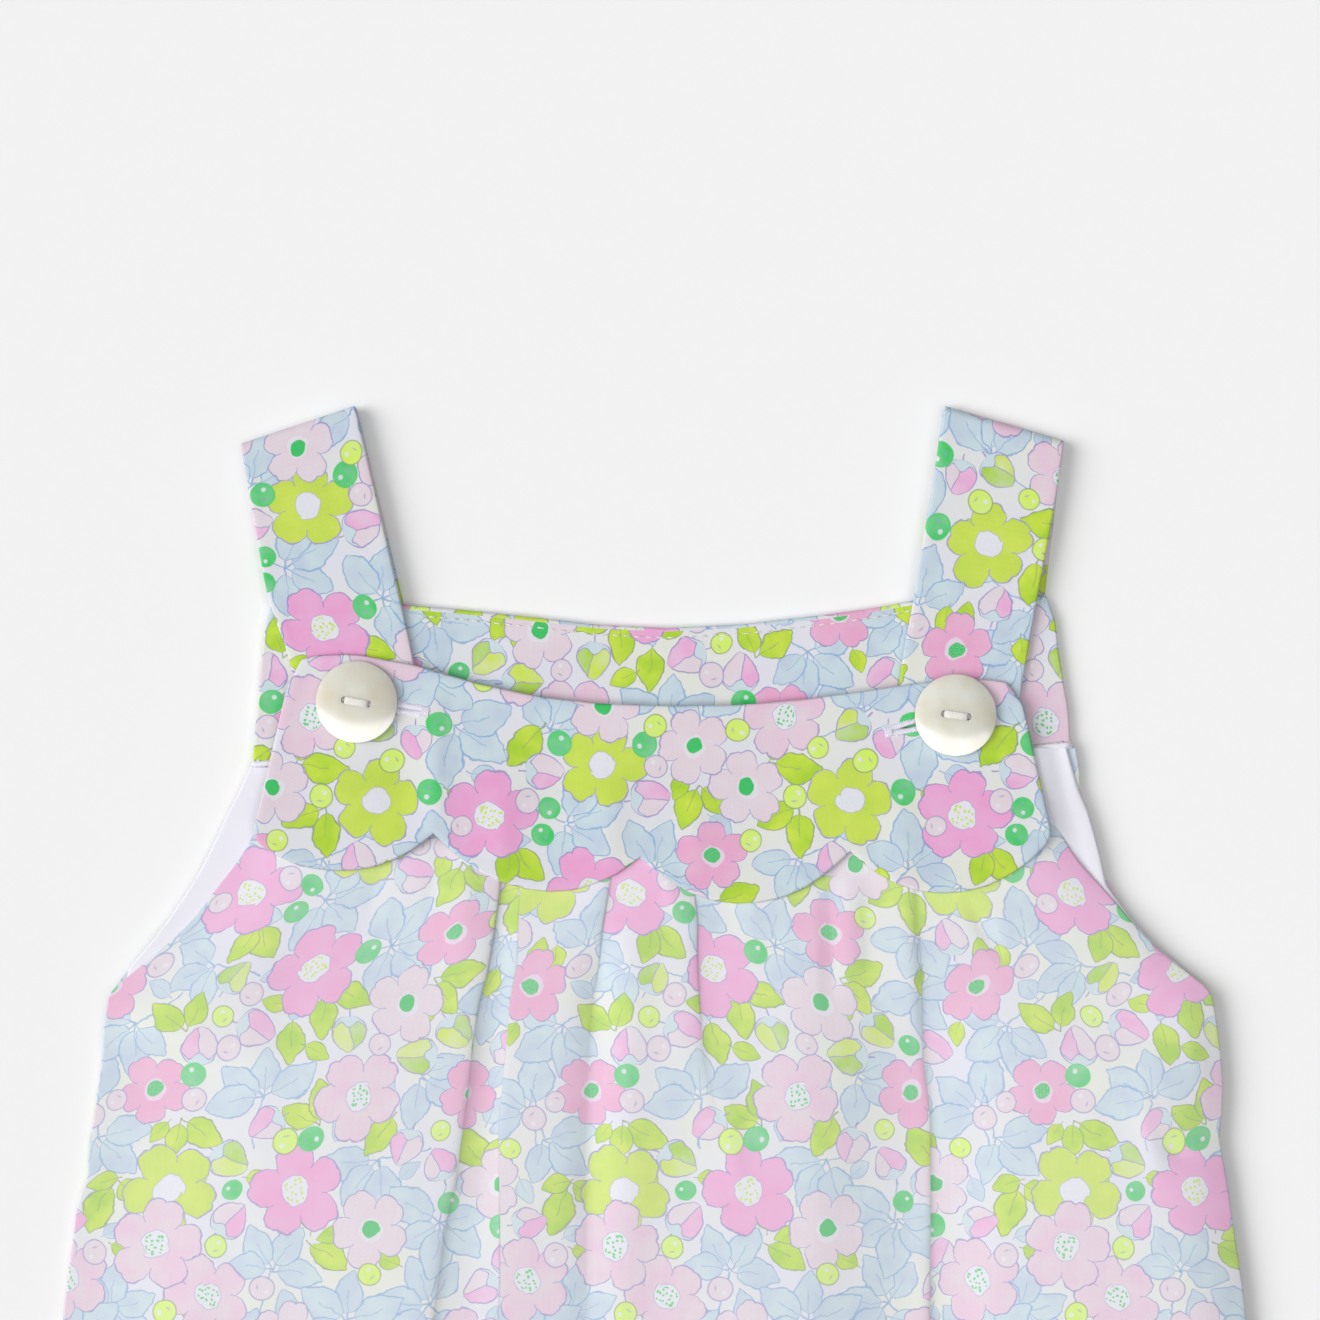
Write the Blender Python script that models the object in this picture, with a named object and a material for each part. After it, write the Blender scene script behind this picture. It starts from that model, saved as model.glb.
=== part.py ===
"""Baby overalls, buttoned up and laid flat on their back, front upwards.

A scalloped bib is buttoned to two straps that come over from the back yoke. Under the bib hangs the pleated
front panel, which runs down into two loose legs and lies on a flat back panel. White lining shows in the armholes.

Frame: +Z up out of the front, +Y from the leg hems towards the straps, +X to the viewer's right, origin under the
middle of the garment on the surface that it lies on. Sizes are in millimetres until a mesh is made.
"""
import math

import bmesh
import bpy
import numpy as np
from mathutils import Matrix, Vector

MM = 0.001

# Walls, and the height at which each layer starts, from the surface upwards.
SEAM_GAP = 0.3
FLAT_WALL = 1.0
SOFT_WALL = 1.2
YOKE_WALL = 2.3
LINING_UNDER = FLAT_WALL + SEAM_GAP
STRAP_UNDER = YOKE_WALL + SEAM_GAP
STRAP_TOP = STRAP_UNDER + SOFT_WALL

# Length of the garment, its crotch and the gap between its legs.
LENGTH = 480.0
HEM_Y = -LENGTH / 2
CROTCH_Y = -95.0
HEM_DEPTH = 12.0
INSEAM = (  # y, half the gap between the legs
    (CROTCH_Y, 0.0),
    (-103.0, 6.0),
    (-120.0, 9.5),
    (-165.0, 12.5),
    (HEM_Y, 16.0),
)

# Side edges, with a row for each level: y, left x, right x.
SIDE_SEAMS = (
    (111.0, -120.8, 121.8),
    (104.0, -121.6, 123.2),
    (98.0, -122.1, 124.1),
    (65.0, -126.2, 126.8),
    (38.0, -130.5, 129.2),
    (0.0, -136.5, 135.5),
    (-45.0, -143.0, 142.5),
    (CROTCH_Y, -147.0, 147.0),
    (-150.0, -147.5, 147.5),
    (-195.0, -146.0, 146.0),
    (HEM_Y, -143.0, 143.0),
)
FRONT_TOP_Y = 150.0
FRONT_ARMHOLES = (
    (FRONT_TOP_Y, -87.5, 86.4),
    (145.0, -89.2, 89.0),
    (139.0, -92.8, 92.9),
    (133.0, -97.7, 98.6),
    (126.5, -102.4, 104.1),
    (120.0, -109.4, 110.1),
    (115.0, -115.7, 116.7),
)
BACK_ARMHOLES = (
    (156.0, -91.6, 92.7),
    (150.0, -94.6, 94.4),
    (141.0, -98.9, 96.9),
    (134.5, -102.5, 98.3),
    (129.5, -105.8, 101.8),
    (125.0, -109.0, 105.4),
    (120.0, -113.0, 110.1),
    (116.0, -116.4, 115.4),
)
BACK_SEAM_LEFT = (-89.4, 161.2)
BACK_SEAM_RIGHT = (91.0, 165.2)

# Back yoke: its armhole edges from the seam upwards, and the neckline between the straps.
YOKE_LEFT = ((-88.7, 170.0), (-87.8, 180.0), (-87.1, 188.7), (-85.2, 197.0))
YOKE_RIGHT = ((90.0, 173.0), (89.6, 178.0), (88.4, 185.7), (87.6, 192.5), (85.6, 198.0))
NECKLINE = ((-55.7, 196.0), (-45.8, 195.2), (-30.4, 193.6), (-12.8, 191.6), (2.0, 190.9),
            (18.0, 191.7), (35.6, 193.7), (46.6, 195.2), (56.5, 197.0))

# Lining of the back, seen in the armholes: how far it stays in from the panel's edge, and where it ends below.
LINING_INSET = 1.0
LINING_HIDDEN_INSET = 3.0
LINING_END_Y = 104.0

# Front panel: height of its upper face at the edges and inside, and how far from an edge it has risen.
EDGE_HEIGHT_LINED = LINING_UNDER + FLAT_WALL + SEAM_GAP + SOFT_WALL
EDGE_HEIGHT = FLAT_WALL + SEAM_GAP + SOFT_WALL
CHEST_HEIGHT = 5.1
HEM_HEIGHT = 3.9
RISE_WIDTH = 25.0
HEM_FOLD = 0.5

# Pleats of the front panel, a row for each line along which its height changes. The upper layer of each pleat
# lies on its left and ends in the fold: name, x at the bib, x at the waist, x at the crotch, lift of the cloth there.
PLEAT_TOP_Y, PLEAT_WAIST_Y, PLEAT_END_Y = 130.0, 38.0, -90.0
PLEAT_LINES = (
    ("left pleat, fold", -36.5, -50.1, -56.0, 0.5),
    ("left pleat, under", -34.0, -47.6, -53.5, -0.5),
    ("left pleat, inner line", -30.7, -34.8, -37.0, -0.3),
    ("left front", -22.0, -24.0, -26.0, -0.1),
    ("left tuck, fold", -12.6, -17.2, -18.7, 0.4),
    ("left tuck, under", -10.2, -14.8, -16.3, -0.4),
    ("beside the centre, left", -4.0, -5.0, -5.0, 0.1),
    ("centre", 0.0, 0.0, 0.0, 0.0),
    ("beside the centre, right", 3.5, 5.5, 6.0, 0.1),
    ("right tuck, fold", 7.8, 12.2, 14.0, 0.4),
    ("right tuck, under", 10.2, 14.6, 16.4, -0.4),
    ("right front", 24.0, 26.0, 28.0, 0.0),
    ("soft fold", 37.4, 39.0, 41.0, -0.3),
    ("beside the right pleat", 47.0, 49.0, 51.0, 0.1),
    ("right pleat, fold", 55.8, 58.2, 60.5, 0.5),
    ("right pleat, under", 58.3, 60.7, 63.0, -0.5),
)
OUTER_SHARES = (0.3, 0.55, 0.8, 0.93, 1.0)
FRONT_LEVELS = (90.0, 80.0, 52.0, 20.0, -22.0, -70.0, -85.0, -103.0, -120.0, -210.0, HEM_Y + HEM_DEPTH + 1.0,
                HEM_Y + HEM_DEPTH)

# Bib: its upper edge, its side edges and its four scallops.
BIB_TOP = ((-81.6, 178.0), (-80.6, 182.2), (-77.4, 184.8), (-66.7, 185.2), (-53.5, 182.8), (-39.2, 178.6),
           (-26.0, 175.8), (-12.8, 174.3), (2.0, 173.8), (18.0, 174.0), (31.2, 175.1), (44.4, 176.9),
           (57.0, 178.8), (69.7, 179.8), (76.0, 179.4), (79.3, 177.4), (80.3, 174.0))
BIB_STRAIGHT = 60.0
BIB_LINE_GAP = 1.0
BIB_CORNERS = ((-89.3, 144.7), (86.8, 144.7))
SCALLOPS = (  # name, x and y of the left cusp, x and y of the right cusp, depth
    ("outer left", -89.3, 144.7, -49.2, 145.7, 7.6),
    ("inner left", -49.2, 145.7, -3.8, 140.6, 9.9),
    ("inner right", -3.8, 140.6, 42.2, 141.8, 10.8),
    ("outer right", 42.2, 141.8, 86.8, 144.7, 10.5),
)
SCALLOP_STEPS = 9
SCALLOP_ROUNDNESS = 2.2
BIB_ROWS = 7
BIB_FLAT_Y = 161.0

# Straps: where each edge of the upper layer runs, from the fold down, and where the lower layer joins the yoke.
STRAP_WALL = SOFT_WALL
FOLD_RADIUS = 1.4
FOLD_STEPS = 8
STRAP_STEPS = 9
STRAPS = {
    "strap_left": {
        "outer": ((-92.0, 231.6), (-89.8, 219.1), (-85.9, 197.1), (-81.0, 184.0), (-76.5, 158.0)),
        "inner": ((-66.7, 240.0), (-61.8, 219.1), (-56.4, 196.0), (-53.5, 182.8), (-50.0, 156.0)),
        "yoke": ((-85.4, 197.4), (-56.2, 196.4)),
    },
    "strap_right": {
        "outer": ((89.5, 232.3), (87.6, 219.1), (83.4, 197.0), (79.6, 175.1), (77.5, 158.0)),
        "inner": ((63.1, 240.0), (59.8, 219.1), (56.1, 196.4), (53.4, 182.4), (51.0, 156.0)),
        "yoke": ((85.5, 198.4), (57.0, 197.4)),
    },
}

# Two-hole buttons and the buttonholes that they come through: angles in degrees about +Z.
BUTTON_RADIUS = 9.0
BUTTON_PROFILE = (  # radius, height above the button's underside, from the axis below to the axis above
    (0.0, 1.6), (4.3, 1.6), (4.6, 0.0), (8.1, 0.0), (8.8, 0.5), (BUTTON_RADIUS, 1.5),
    (8.8, 2.5), (8.1, 3.0), (7.3, 2.95), (6.4, 2.45), (0.0, 2.4),
)
BUTTON_SEGMENTS = 28
BUTTON_WELL = 2.4
BUTTON_RECESS = 1.6
HOLE_RADIUS = 1.1
HOLE_SPREAD = 5.1
THREAD_RADIUS = 0.45
BUTTONHOLE_LENGTH = 18.0
BUTTONHOLE_WIDTH = 1.6
BUTTONS = {
    "left": {"centre": (-66.1, 174.7), "turn": -9.9, "buttonhole_turn": -10.0, "towards": 1.0},
    "right": {"centre": (65.3, 171.8), "turn": -7.4, "buttonhole_turn": 17.0, "towards": -1.0},
}
BIB_TOP_HEIGHT = STRAP_TOP + SEAM_GAP + SOFT_WALL
BUTTON_UNDER = BIB_TOP_HEIGHT + SEAM_GAP


def smooth_step(value):
    """Ease from 0 to 1 as the value goes from 0 to 1."""
    held = min(max(value, 0.0), 1.0)
    return held * held * (3.0 - 2.0 * held)


def read_along(table, y, column):
    """Read one column of a table whose first column is y, listed from the top down."""
    rows = sorted(table)
    return float(np.interp(y, [row[0] for row in rows], [row[column] for row in rows]))


def front_edges(y):
    """Left and right x of the front panel at one level."""
    table = FRONT_ARMHOLES + SIDE_SEAMS
    return read_along(table, y, 1), read_along(table, y, 2)


def pleat_positions(y):
    """The x of every pleat line at one level."""
    levels = (CROTCH_Y, PLEAT_WAIST_Y, PLEAT_TOP_Y)
    return [float(np.interp(y, levels, (line[3], line[2], line[1]))) for line in PLEAT_LINES]


def front_lines(y):
    """The x of every line of the front panel's grid at one level, as if it had no gap between its legs."""
    left, right = front_edges(y)
    pleats = pleat_positions(y)
    beyond_left = [pleats[0] + share * (left - pleats[0]) for share in reversed(OUTER_SHARES)]
    beyond_right = [pleats[-1] + share * (right - pleats[-1]) for share in OUTER_SHARES]
    return beyond_left + pleats + beyond_right


def front_height(x, y):
    """Height of the front panel's upper face: low along its edges, stepped at its pleats."""
    left, right = front_edges(y)
    inseam = read_along(INSEAM, min(y, CROTCH_Y), 1)
    inner_distance = math.hypot(x, y - CROTCH_Y) if y > CROTCH_Y else abs(x) - inseam
    distance = max(0.0, min(x - left, right - x, inner_distance))
    edge = EDGE_HEIGHT + (EDGE_HEIGHT_LINED - EDGE_HEIGHT) * smooth_step((y - 90.0) / (LINING_END_Y - 90.0))
    inside = HEM_HEIGHT + (CHEST_HEIGHT - HEM_HEIGHT) * smooth_step((y - HEM_Y) / (CROTCH_Y - HEM_Y))
    lift = float(np.interp(x, pleat_positions(y), [line[4] for line in PLEAT_LINES]))
    strength = smooth_step((y - PLEAT_END_Y) / (PLEAT_WAIST_Y - PLEAT_END_Y))
    hem = HEM_FOLD if y < HEM_Y + HEM_DEPTH + 0.5 else 0.0
    return edge + (inside + lift * strength - edge) * smooth_step(distance / RISE_WIDTH) + hem


def bib_under(x, y):
    """Height of the bib's underside: on the front panel below, on the strap ends above."""
    on_panel = front_height(x, min(y, FRONT_TOP_Y))
    share = smooth_step((y - FRONT_TOP_Y) / (BIB_FLAT_Y - FRONT_TOP_Y))
    return on_panel + (STRAP_TOP - on_panel) * share + SEAM_GAP


def cloth_material(name, colour, roughness, sheen=0.0):
    """A Principled material that shows a piece's main colour."""
    made = bpy.data.materials.new(name)
    made.use_nodes = True
    shader = made.node_tree.nodes["Principled BSDF"]
    shader.inputs["Base Color"].default_value = (*colour, 1.0)
    shader.inputs["Roughness"].default_value = roughness
    shader.inputs["Metallic"].default_value = 0.0
    shader.inputs["Sheen Weight"].default_value = sheen
    return made


def add_object(name, bm, material):
    """Turn a bmesh in millimetres into an object in metres."""
    bmesh.ops.scale(bm, vec=(MM, MM, MM), verts=bm.verts)
    mesh = bpy.data.meshes.new(name)
    bm.to_mesh(mesh)
    bm.free()
    mesh.materials.append(material)
    made = bpy.data.objects.new(name, mesh)
    bpy.context.collection.objects.link(made)
    return made


def add_wall(name, plan, faces, under, thickness, material):
    """A closed wall over a plan: `under` gives its underside's height at a point, faces run counter-clockwise."""
    bm = bmesh.new()
    lower = [bm.verts.new((x, y, under(x, y))) for x, y in plan]
    upper = [bm.verts.new((x, y, under(x, y) + thickness)) for x, y in plan]
    edges = {(face[k - 1], face[k]) for face in faces for k in range(len(face))}
    for face in faces:
        bm.faces.new([upper[k] for k in face])
        bm.faces.new([lower[k] for k in reversed(face)])
    for first, second in sorted(edge for edge in edges if edge[::-1] not in edges):
        bm.faces.new((lower[first], lower[second], upper[second], upper[first]))
    return add_object(name, bm, material)


def add_flat(name, outline, under, thickness, material):
    """A flat wall inside one counter-clockwise outline."""
    return add_wall(name, outline, [tuple(range(len(outline)))], lambda x, y: under, thickness, material)


def make_front_panel(material):
    """Front panel with both legs: a grid on its pleat lines, split below the crotch."""
    levels = {row[0] for row in FRONT_ARMHOLES + SIDE_SEAMS + INSEAM} | set(FRONT_LEVELS)
    levels = sorted(levels, reverse=True)
    centre = len(OUTER_SHARES) + [line[0] for line in PLEAT_LINES].index("centre")
    plan, places, faces = [], {}, []

    def place(column, y, side):
        """Number of the grid point on one line, moved out past the gap between the legs."""
        lines = front_lines(y)
        edge = lines[0] if side < 0 else lines[-1]
        gap = side * read_along(INSEAM, min(y, CROTCH_Y), 1)
        x = gap + lines[column] * (1.0 - gap / edge)
        key = (round(x, 3), y)
        if key not in places:
            places[key] = len(plan)
            plan.append((x, y))
        return places[key]

    for side, columns in ((-1, range(centre)), (1, range(centre, len(front_lines(0.0)) - 1))):
        for column in columns:
            for upper, lower in zip(levels, levels[1:]):
                faces.append((place(column, lower, side), place(column + 1, lower, side),
                              place(column + 1, upper, side), place(column, upper, side)))
    return add_wall("front_panel", plan, faces, lambda x, y: front_height(x, y) - SOFT_WALL, SOFT_WALL, material)


def make_back_panel(material):
    """Back panel with both legs, flat on the surface."""
    sides = BACK_ARMHOLES + SIDE_SEAMS
    left = [(row[1], row[0]) for row in sides]
    right = [(row[2], row[0]) for row in reversed(sides)]
    left_inseam = [(-half_gap, y) for y, half_gap in reversed(INSEAM)]
    right_inseam = [(half_gap, y) for y, half_gap in INSEAM[1:]]
    top = [(x, y - SEAM_GAP) for x, y in (BACK_SEAM_RIGHT, BACK_SEAM_LEFT)]
    outline = left + left_inseam + right_inseam + right + top
    return add_flat("back_panel", outline, 0.0, FLAT_WALL, material)


def make_back_lining(material):
    """Lining of the back, from the yoke seam to just under the armholes."""
    left = [(row[1] + LINING_INSET, row[0]) for row in BACK_ARMHOLES]
    right = [(row[2] - LINING_INSET, row[0]) for row in reversed(BACK_ARMHOLES)]
    end_left = read_along(SIDE_SEAMS, LINING_END_Y, 1) + LINING_HIDDEN_INSET
    end_right = read_along(SIDE_SEAMS, LINING_END_Y, 2) - LINING_HIDDEN_INSET
    top = [(BACK_SEAM_RIGHT[0] - LINING_INSET, BACK_SEAM_RIGHT[1] - SEAM_GAP),
           (BACK_SEAM_LEFT[0] + LINING_INSET, BACK_SEAM_LEFT[1] - SEAM_GAP)]
    outline = left + [(end_left, LINING_END_Y), (end_right, LINING_END_Y)] + right + top
    return add_flat("back_lining", outline, LINING_UNDER, FLAT_WALL, material)


def make_back_yoke(material):
    """Back yoke, two layers of cloth thick, whose inside shows above the bib."""
    outline = [BACK_SEAM_LEFT, BACK_SEAM_RIGHT, *YOKE_RIGHT, *reversed(NECKLINE), *reversed(YOKE_LEFT)]
    return add_flat("back_yoke", outline, 0.0, YOKE_WALL, material)


def scallop_edge():
    """Points of the bib's lower edge from left to right, without the last one."""
    points = []
    for _, left_x, left_y, right_x, right_y, depth in SCALLOPS:
        for step in range(SCALLOP_STEPS):
            share = step / SCALLOP_STEPS
            sag = depth * (1.0 - abs(2.0 * share - 1.0) ** SCALLOP_ROUNDNESS)
            points.append((left_x + share * (right_x - left_x), left_y + share * (right_y - left_y) - sag))
    return points + [BIB_CORNERS[1]]


def bib_columns():
    """Lower and upper end of every line of the bib's grid, from left to right."""
    edge = scallop_edge()
    pleats = pleat_positions(PLEAT_TOP_Y)
    clear = [x for x, _ in edge if min(abs(x - pleat) for pleat in pleats) > BIB_LINE_GAP]
    columns = []
    for x in sorted(clear + pleats):
        corner, end = (BIB_CORNERS[0][0], BIB_TOP[0][0]) if x < 0 else (BIB_CORNERS[1][0], BIB_TOP[-1][0])
        straight = math.copysign(BIB_STRAIGHT, x)
        drawn_in = straight + (x - straight) * (end - straight) / (corner - straight)
        top_x = x if abs(x) < BIB_STRAIGHT else drawn_in
        bottom_y = float(np.interp(x, [point[0] for point in edge], [point[1] for point in edge]))
        top_y = float(np.interp(top_x, [point[0] for point in BIB_TOP], [point[1] for point in BIB_TOP]))
        columns.append(((x, bottom_y), (top_x, top_y)))
    return columns


def make_front_yoke(material):
    """Scalloped bib with a buttonhole at each strap."""
    columns = bib_columns()
    shares = [row / BIB_ROWS for row in range(BIB_ROWS + 1)]
    plan = [(low[0] + share * (high[0] - low[0]), low[1] + share * (high[1] - low[1]))
            for low, high in columns for share in shares]
    rows = len(shares)
    faces = [(c * rows + r, (c + 1) * rows + r, (c + 1) * rows + r + 1, c * rows + r + 1)
             for c in range(len(columns) - 1) for r in range(BIB_ROWS)]
    bib = add_wall("front_yoke", plan, faces, bib_under, SOFT_WALL, material)
    for side, button in BUTTONS.items():
        cut_away(bib, buttonhole_cutter("buttonhole_" + side, button))
    return bib


def buttonhole_cutter(name, button):
    """A slot from just past the button's thread towards the middle of the bib."""
    bm = bmesh.new()
    bmesh.ops.create_cube(bm, size=1.0)
    offset = button["towards"] * (BUTTONHOLE_LENGTH / 2 - BUTTONHOLE_WIDTH)
    place = (Matrix.Translation(Vector((*button["centre"], BIB_TOP_HEIGHT)))
             @ Matrix.Rotation(math.radians(button["buttonhole_turn"]), 4, "Z")
             @ Matrix.Translation(Vector((offset, 0.0, 0.0)))
             @ Matrix.Diagonal(Vector((BUTTONHOLE_LENGTH, BUTTONHOLE_WIDTH, 6.0 * SOFT_WALL, 1.0))))
    bmesh.ops.transform(bm, matrix=place, verts=bm.verts)
    return add_cutter(name, bm)


def add_cutter(name, bm):
    """An object that only cuts others."""
    cutter = add_object(name, bm, bpy.data.materials["floral_cotton"])
    cutter.hide_render = True
    cutter.display_type = "WIRE"
    return cutter


def cut_away(target, cutter):
    """Take a cutter's shape out of an object."""
    cut = target.modifiers.new(cutter.name, "BOOLEAN")
    cut.operation = "DIFFERENCE"
    cut.object = cutter
    cut.solver = "EXACT"


def along_edge(edge, distance):
    """Point on a plan polyline at a distance from its start; before the start it runs straight on."""
    points = [Vector(point) for point in edge]
    if distance < 0.0:
        return points[0] + (points[0] - points[1]).normalized() * -distance
    for first, second in zip(points, points[1:]):
        length = (second - first).length
        if distance <= length:
            return first + (second - first) * (distance / length)
        distance -= length
    return points[-1]


def polyline_length(edge):
    """Length of a plan polyline."""
    return sum((Vector(b) - Vector(a)).length for a, b in zip(edge, edge[1:]))


def make_strap(name, sizes, material):
    """A strap from the back yoke up, folded over at the top, and down to its end under the bib."""
    reach = FOLD_RADIUS + STRAP_WALL / 2
    base = {}
    for edge in ("outer", "inner"):
        start = along_edge(sizes[edge], reach)
        base[edge] = [tuple(start)] + [point for point in sizes[edge][1:]]
    lower = {edge: (base[edge][0], end) for edge, end in zip(("outer", "inner"), sizes["yoke"])}

    def rung(edges, share, past, height):
        """Outer and inner point of one cross line, `past` the fold's base by a distance if that isn't zero."""
        ends = []
        for edge in ("outer", "inner"):
            distance = -past if past else share * polyline_length(edges[edge])
            x, y = along_edge(edges[edge], distance)
            ends.append(Vector((x, y, height)))
        return ends

    low_height = STRAP_WALL / 2
    high_height = low_height + 2.0 * FOLD_RADIUS
    over_yoke = STRAP_UNDER + STRAP_WALL / 2
    rungs = []
    for step in range(4):
        rungs.append((rung(lower, 1.0 - step / 4, 0.0, low_height), Vector((0.0, 1.0))))
    for step in range(FOLD_STEPS + 1):
        angle = math.pi * step / FOLD_STEPS
        past = FOLD_RADIUS * math.sin(angle)
        height = low_height + FOLD_RADIUS * (1.0 - math.cos(angle))
        rungs.append((rung(base, 0.0, max(past, 1e-6), height), Vector((-math.sin(angle), math.cos(angle)))))
    for step in range(1, STRAP_STEPS + 1):
        share = step / STRAP_STEPS
        height = high_height + (over_yoke - high_height) * smooth_step(share * 3.0)
        rungs.append((rung(base, share, 0.0, height), Vector((0.0, -1.0))))

    up_the_strap = (Vector(base["inner"][0]) + Vector(base["outer"][0])
                    - Vector(base["inner"][1]) - Vector(base["outer"][1])).normalized()
    bm = bmesh.new()
    loops = []
    for ends, inward in rungs:
        offset = Vector((*(up_the_strap * inward.x), inward.y)) * (STRAP_WALL / 2)
        loops.append([bm.verts.new(ends[0] - offset), bm.verts.new(ends[1] - offset),
                      bm.verts.new(ends[1] + offset), bm.verts.new(ends[0] + offset)])
    for first, second in zip(loops, loops[1:]):
        for k in range(4):
            bm.faces.new((first[k], first[k - 1], second[k - 1], second[k]))
    bm.faces.new(loops[0])
    bm.faces.new(list(reversed(loops[-1])))
    bmesh.ops.recalc_face_normals(bm, faces=bm.faces)
    return add_object(name, bm, material)


def make_button(side, sizes, material):
    """A turned button with a raised rim, two holes and a recess below for its thread."""
    bm = bmesh.new()
    rings = []
    for radius, height in BUTTON_PROFILE:
        if radius == 0.0:
            rings.append([bm.verts.new((0.0, 0.0, height))])
            continue
        turns = [2.0 * math.pi * k / BUTTON_SEGMENTS for k in range(BUTTON_SEGMENTS)]
        rings.append([bm.verts.new((radius * math.cos(a), radius * math.sin(a), height)) for a in turns])
    for inner, outer in zip(rings, rings[1:]):
        for k in range(BUTTON_SEGMENTS):
            corners = [ring[index % len(ring)] for ring, index in
                       ((inner, k), (outer, k), (outer, k + 1), (inner, k + 1))]
            bm.faces.new(list(dict.fromkeys(corners)))
    bmesh.ops.recalc_face_normals(bm, faces=bm.faces)
    button = add_object("button_" + side, bm, material)
    button.location = Vector((*sizes["centre"], BUTTON_UNDER)) * MM
    button.rotation_euler.z = math.radians(sizes["turn"])
    for number, offset in enumerate((-HOLE_SPREAD / 2, HOLE_SPREAD / 2), start=1):
        drill = bmesh.new()
        bmesh.ops.create_cone(drill, cap_ends=True, segments=14, radius1=HOLE_RADIUS, radius2=HOLE_RADIUS,
                              depth=8.0, matrix=Matrix.Translation(Vector((offset, 0.0, 2.0))))
        cutter = add_cutter(f"drill_{side}_{number}", drill)
        cutter.location = button.location
        cutter.rotation_euler = button.rotation_euler
        cut_away(button, cutter)
    return button


def make_thread(side, sizes, material):
    """Thread up from the strap, through one hole, over to the other and back under the button."""
    hole = HOLE_SPREAD / 2
    low = STRAP_TOP + SEAM_GAP - BUTTON_UNDER
    under = BUTTON_RECESS - SEAM_GAP - THREAD_RADIUS
    over = BUTTON_WELL + SEAM_GAP + THREAD_RADIUS
    bend = 0.5
    route = (
        (0.0, low), (0.0, under - bend), (-bend, under), (-hole + bend, under), (-hole, under + bend),
        (-hole, over - bend), (-hole + bend, over), (hole - bend, over), (hole, over - bend),
        (hole, under + bend), (hole - bend, under), (3.0 * THREAD_RADIUS, under),
    )
    curve = bpy.data.curves.new("thread_" + side, "CURVE")
    curve.dimensions = "3D"
    curve.bevel_depth = THREAD_RADIUS * MM
    curve.bevel_resolution = 2
    curve.use_fill_caps = True
    spline = curve.splines.new("POLY")
    spline.points.add(len(route) - 1)
    for point, (x, z) in zip(spline.points, route):
        point.co = (x * MM, 0.0, z * MM, 1.0)
    curve.materials.append(material)
    thread = bpy.data.objects.new("thread_" + side, curve)
    bpy.context.collection.objects.link(thread)
    thread.location = Vector((*sizes["centre"], BUTTON_UNDER)) * MM
    thread.rotation_euler.z = math.radians(sizes["turn"])
    return thread


def main():
    """Clear the scene and build every piece."""
    for old in list(bpy.data.objects):
        bpy.data.objects.remove(old, do_unlink=True)
    cotton = cloth_material("floral_cotton", (0.80, 0.84, 0.78), 0.72, sheen=0.15)
    lining = cloth_material("white_lining", (0.88, 0.88, 0.88), 0.8)
    shell = cloth_material("shell_button", (0.83, 0.83, 0.78), 0.22)
    thread = cloth_material("sewing_thread", (0.92, 0.91, 0.88), 0.6)

    make_back_panel(cotton)
    make_back_lining(lining)
    make_back_yoke(cotton)
    make_front_panel(cotton)
    make_front_yoke(cotton)
    for name, sizes in STRAPS.items():
        make_strap(name, sizes, cotton)
    for side, sizes in BUTTONS.items():
        make_button(side, sizes, shell)
        make_thread(side, sizes, thread)


main()
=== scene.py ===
"""Looks of the baby overalls: printed cotton laid flat on its back, with a bib buttoned to two straps.

Every cloth piece is a thin closed shell on its CAD solid's form. The print is drawn by shader nodes: a
repeat of motifs is laid out once, and each face carries the places of the motifs that reach it, in the
cloth's own flat coordinates, so the print is cut where a pleat hides cloth. Sizes are in millimetres until
a mesh is made.
"""
import math
import random
from collections import namedtuple

import bmesh
import bpy
import numpy as np
from mathutils import Matrix, Vector


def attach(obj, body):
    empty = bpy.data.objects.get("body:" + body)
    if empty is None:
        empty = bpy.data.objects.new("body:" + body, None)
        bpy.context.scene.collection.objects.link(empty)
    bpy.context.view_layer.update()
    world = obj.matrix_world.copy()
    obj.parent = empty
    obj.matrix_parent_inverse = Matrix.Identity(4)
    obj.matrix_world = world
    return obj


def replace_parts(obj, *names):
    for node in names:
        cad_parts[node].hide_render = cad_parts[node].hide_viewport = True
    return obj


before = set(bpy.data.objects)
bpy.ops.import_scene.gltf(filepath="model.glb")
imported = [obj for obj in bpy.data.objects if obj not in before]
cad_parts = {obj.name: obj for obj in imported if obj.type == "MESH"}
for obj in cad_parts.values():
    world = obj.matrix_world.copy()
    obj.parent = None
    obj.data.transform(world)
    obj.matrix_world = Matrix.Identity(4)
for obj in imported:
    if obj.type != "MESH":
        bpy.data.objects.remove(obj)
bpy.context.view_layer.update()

MM = 0.001
BODY = "root"

# --------------------------------------------------------------------------------------------------
# Heights of the layers, as in the CAD, from the surface upwards.
BACK_TOP = 1.0
LINING_UNDER, LINING_TOP = 1.3, 2.3
YOKE_TOP = 2.3
STRAP_UNDER = 2.6
CHEST_HEIGHT = 5.0
HEM_HEIGHT = 3.8
BIB_TOP = 5.3
BUTTON_UNDER = 5.6
PANEL_WALL = 0.55
BIB_WALL = 0.9

# Levels along the garment, as in the CAD. Above the last one the camera sees the cloth, on a finer grid.
HEM_Y = -240.0
HEM_DEPTH = 12.0
HEM_SEAM_Y = HEM_Y + HEM_DEPTH - 1.5
CROTCH_Y = -95.0
VIEW_LOW_Y = 38.0

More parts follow.
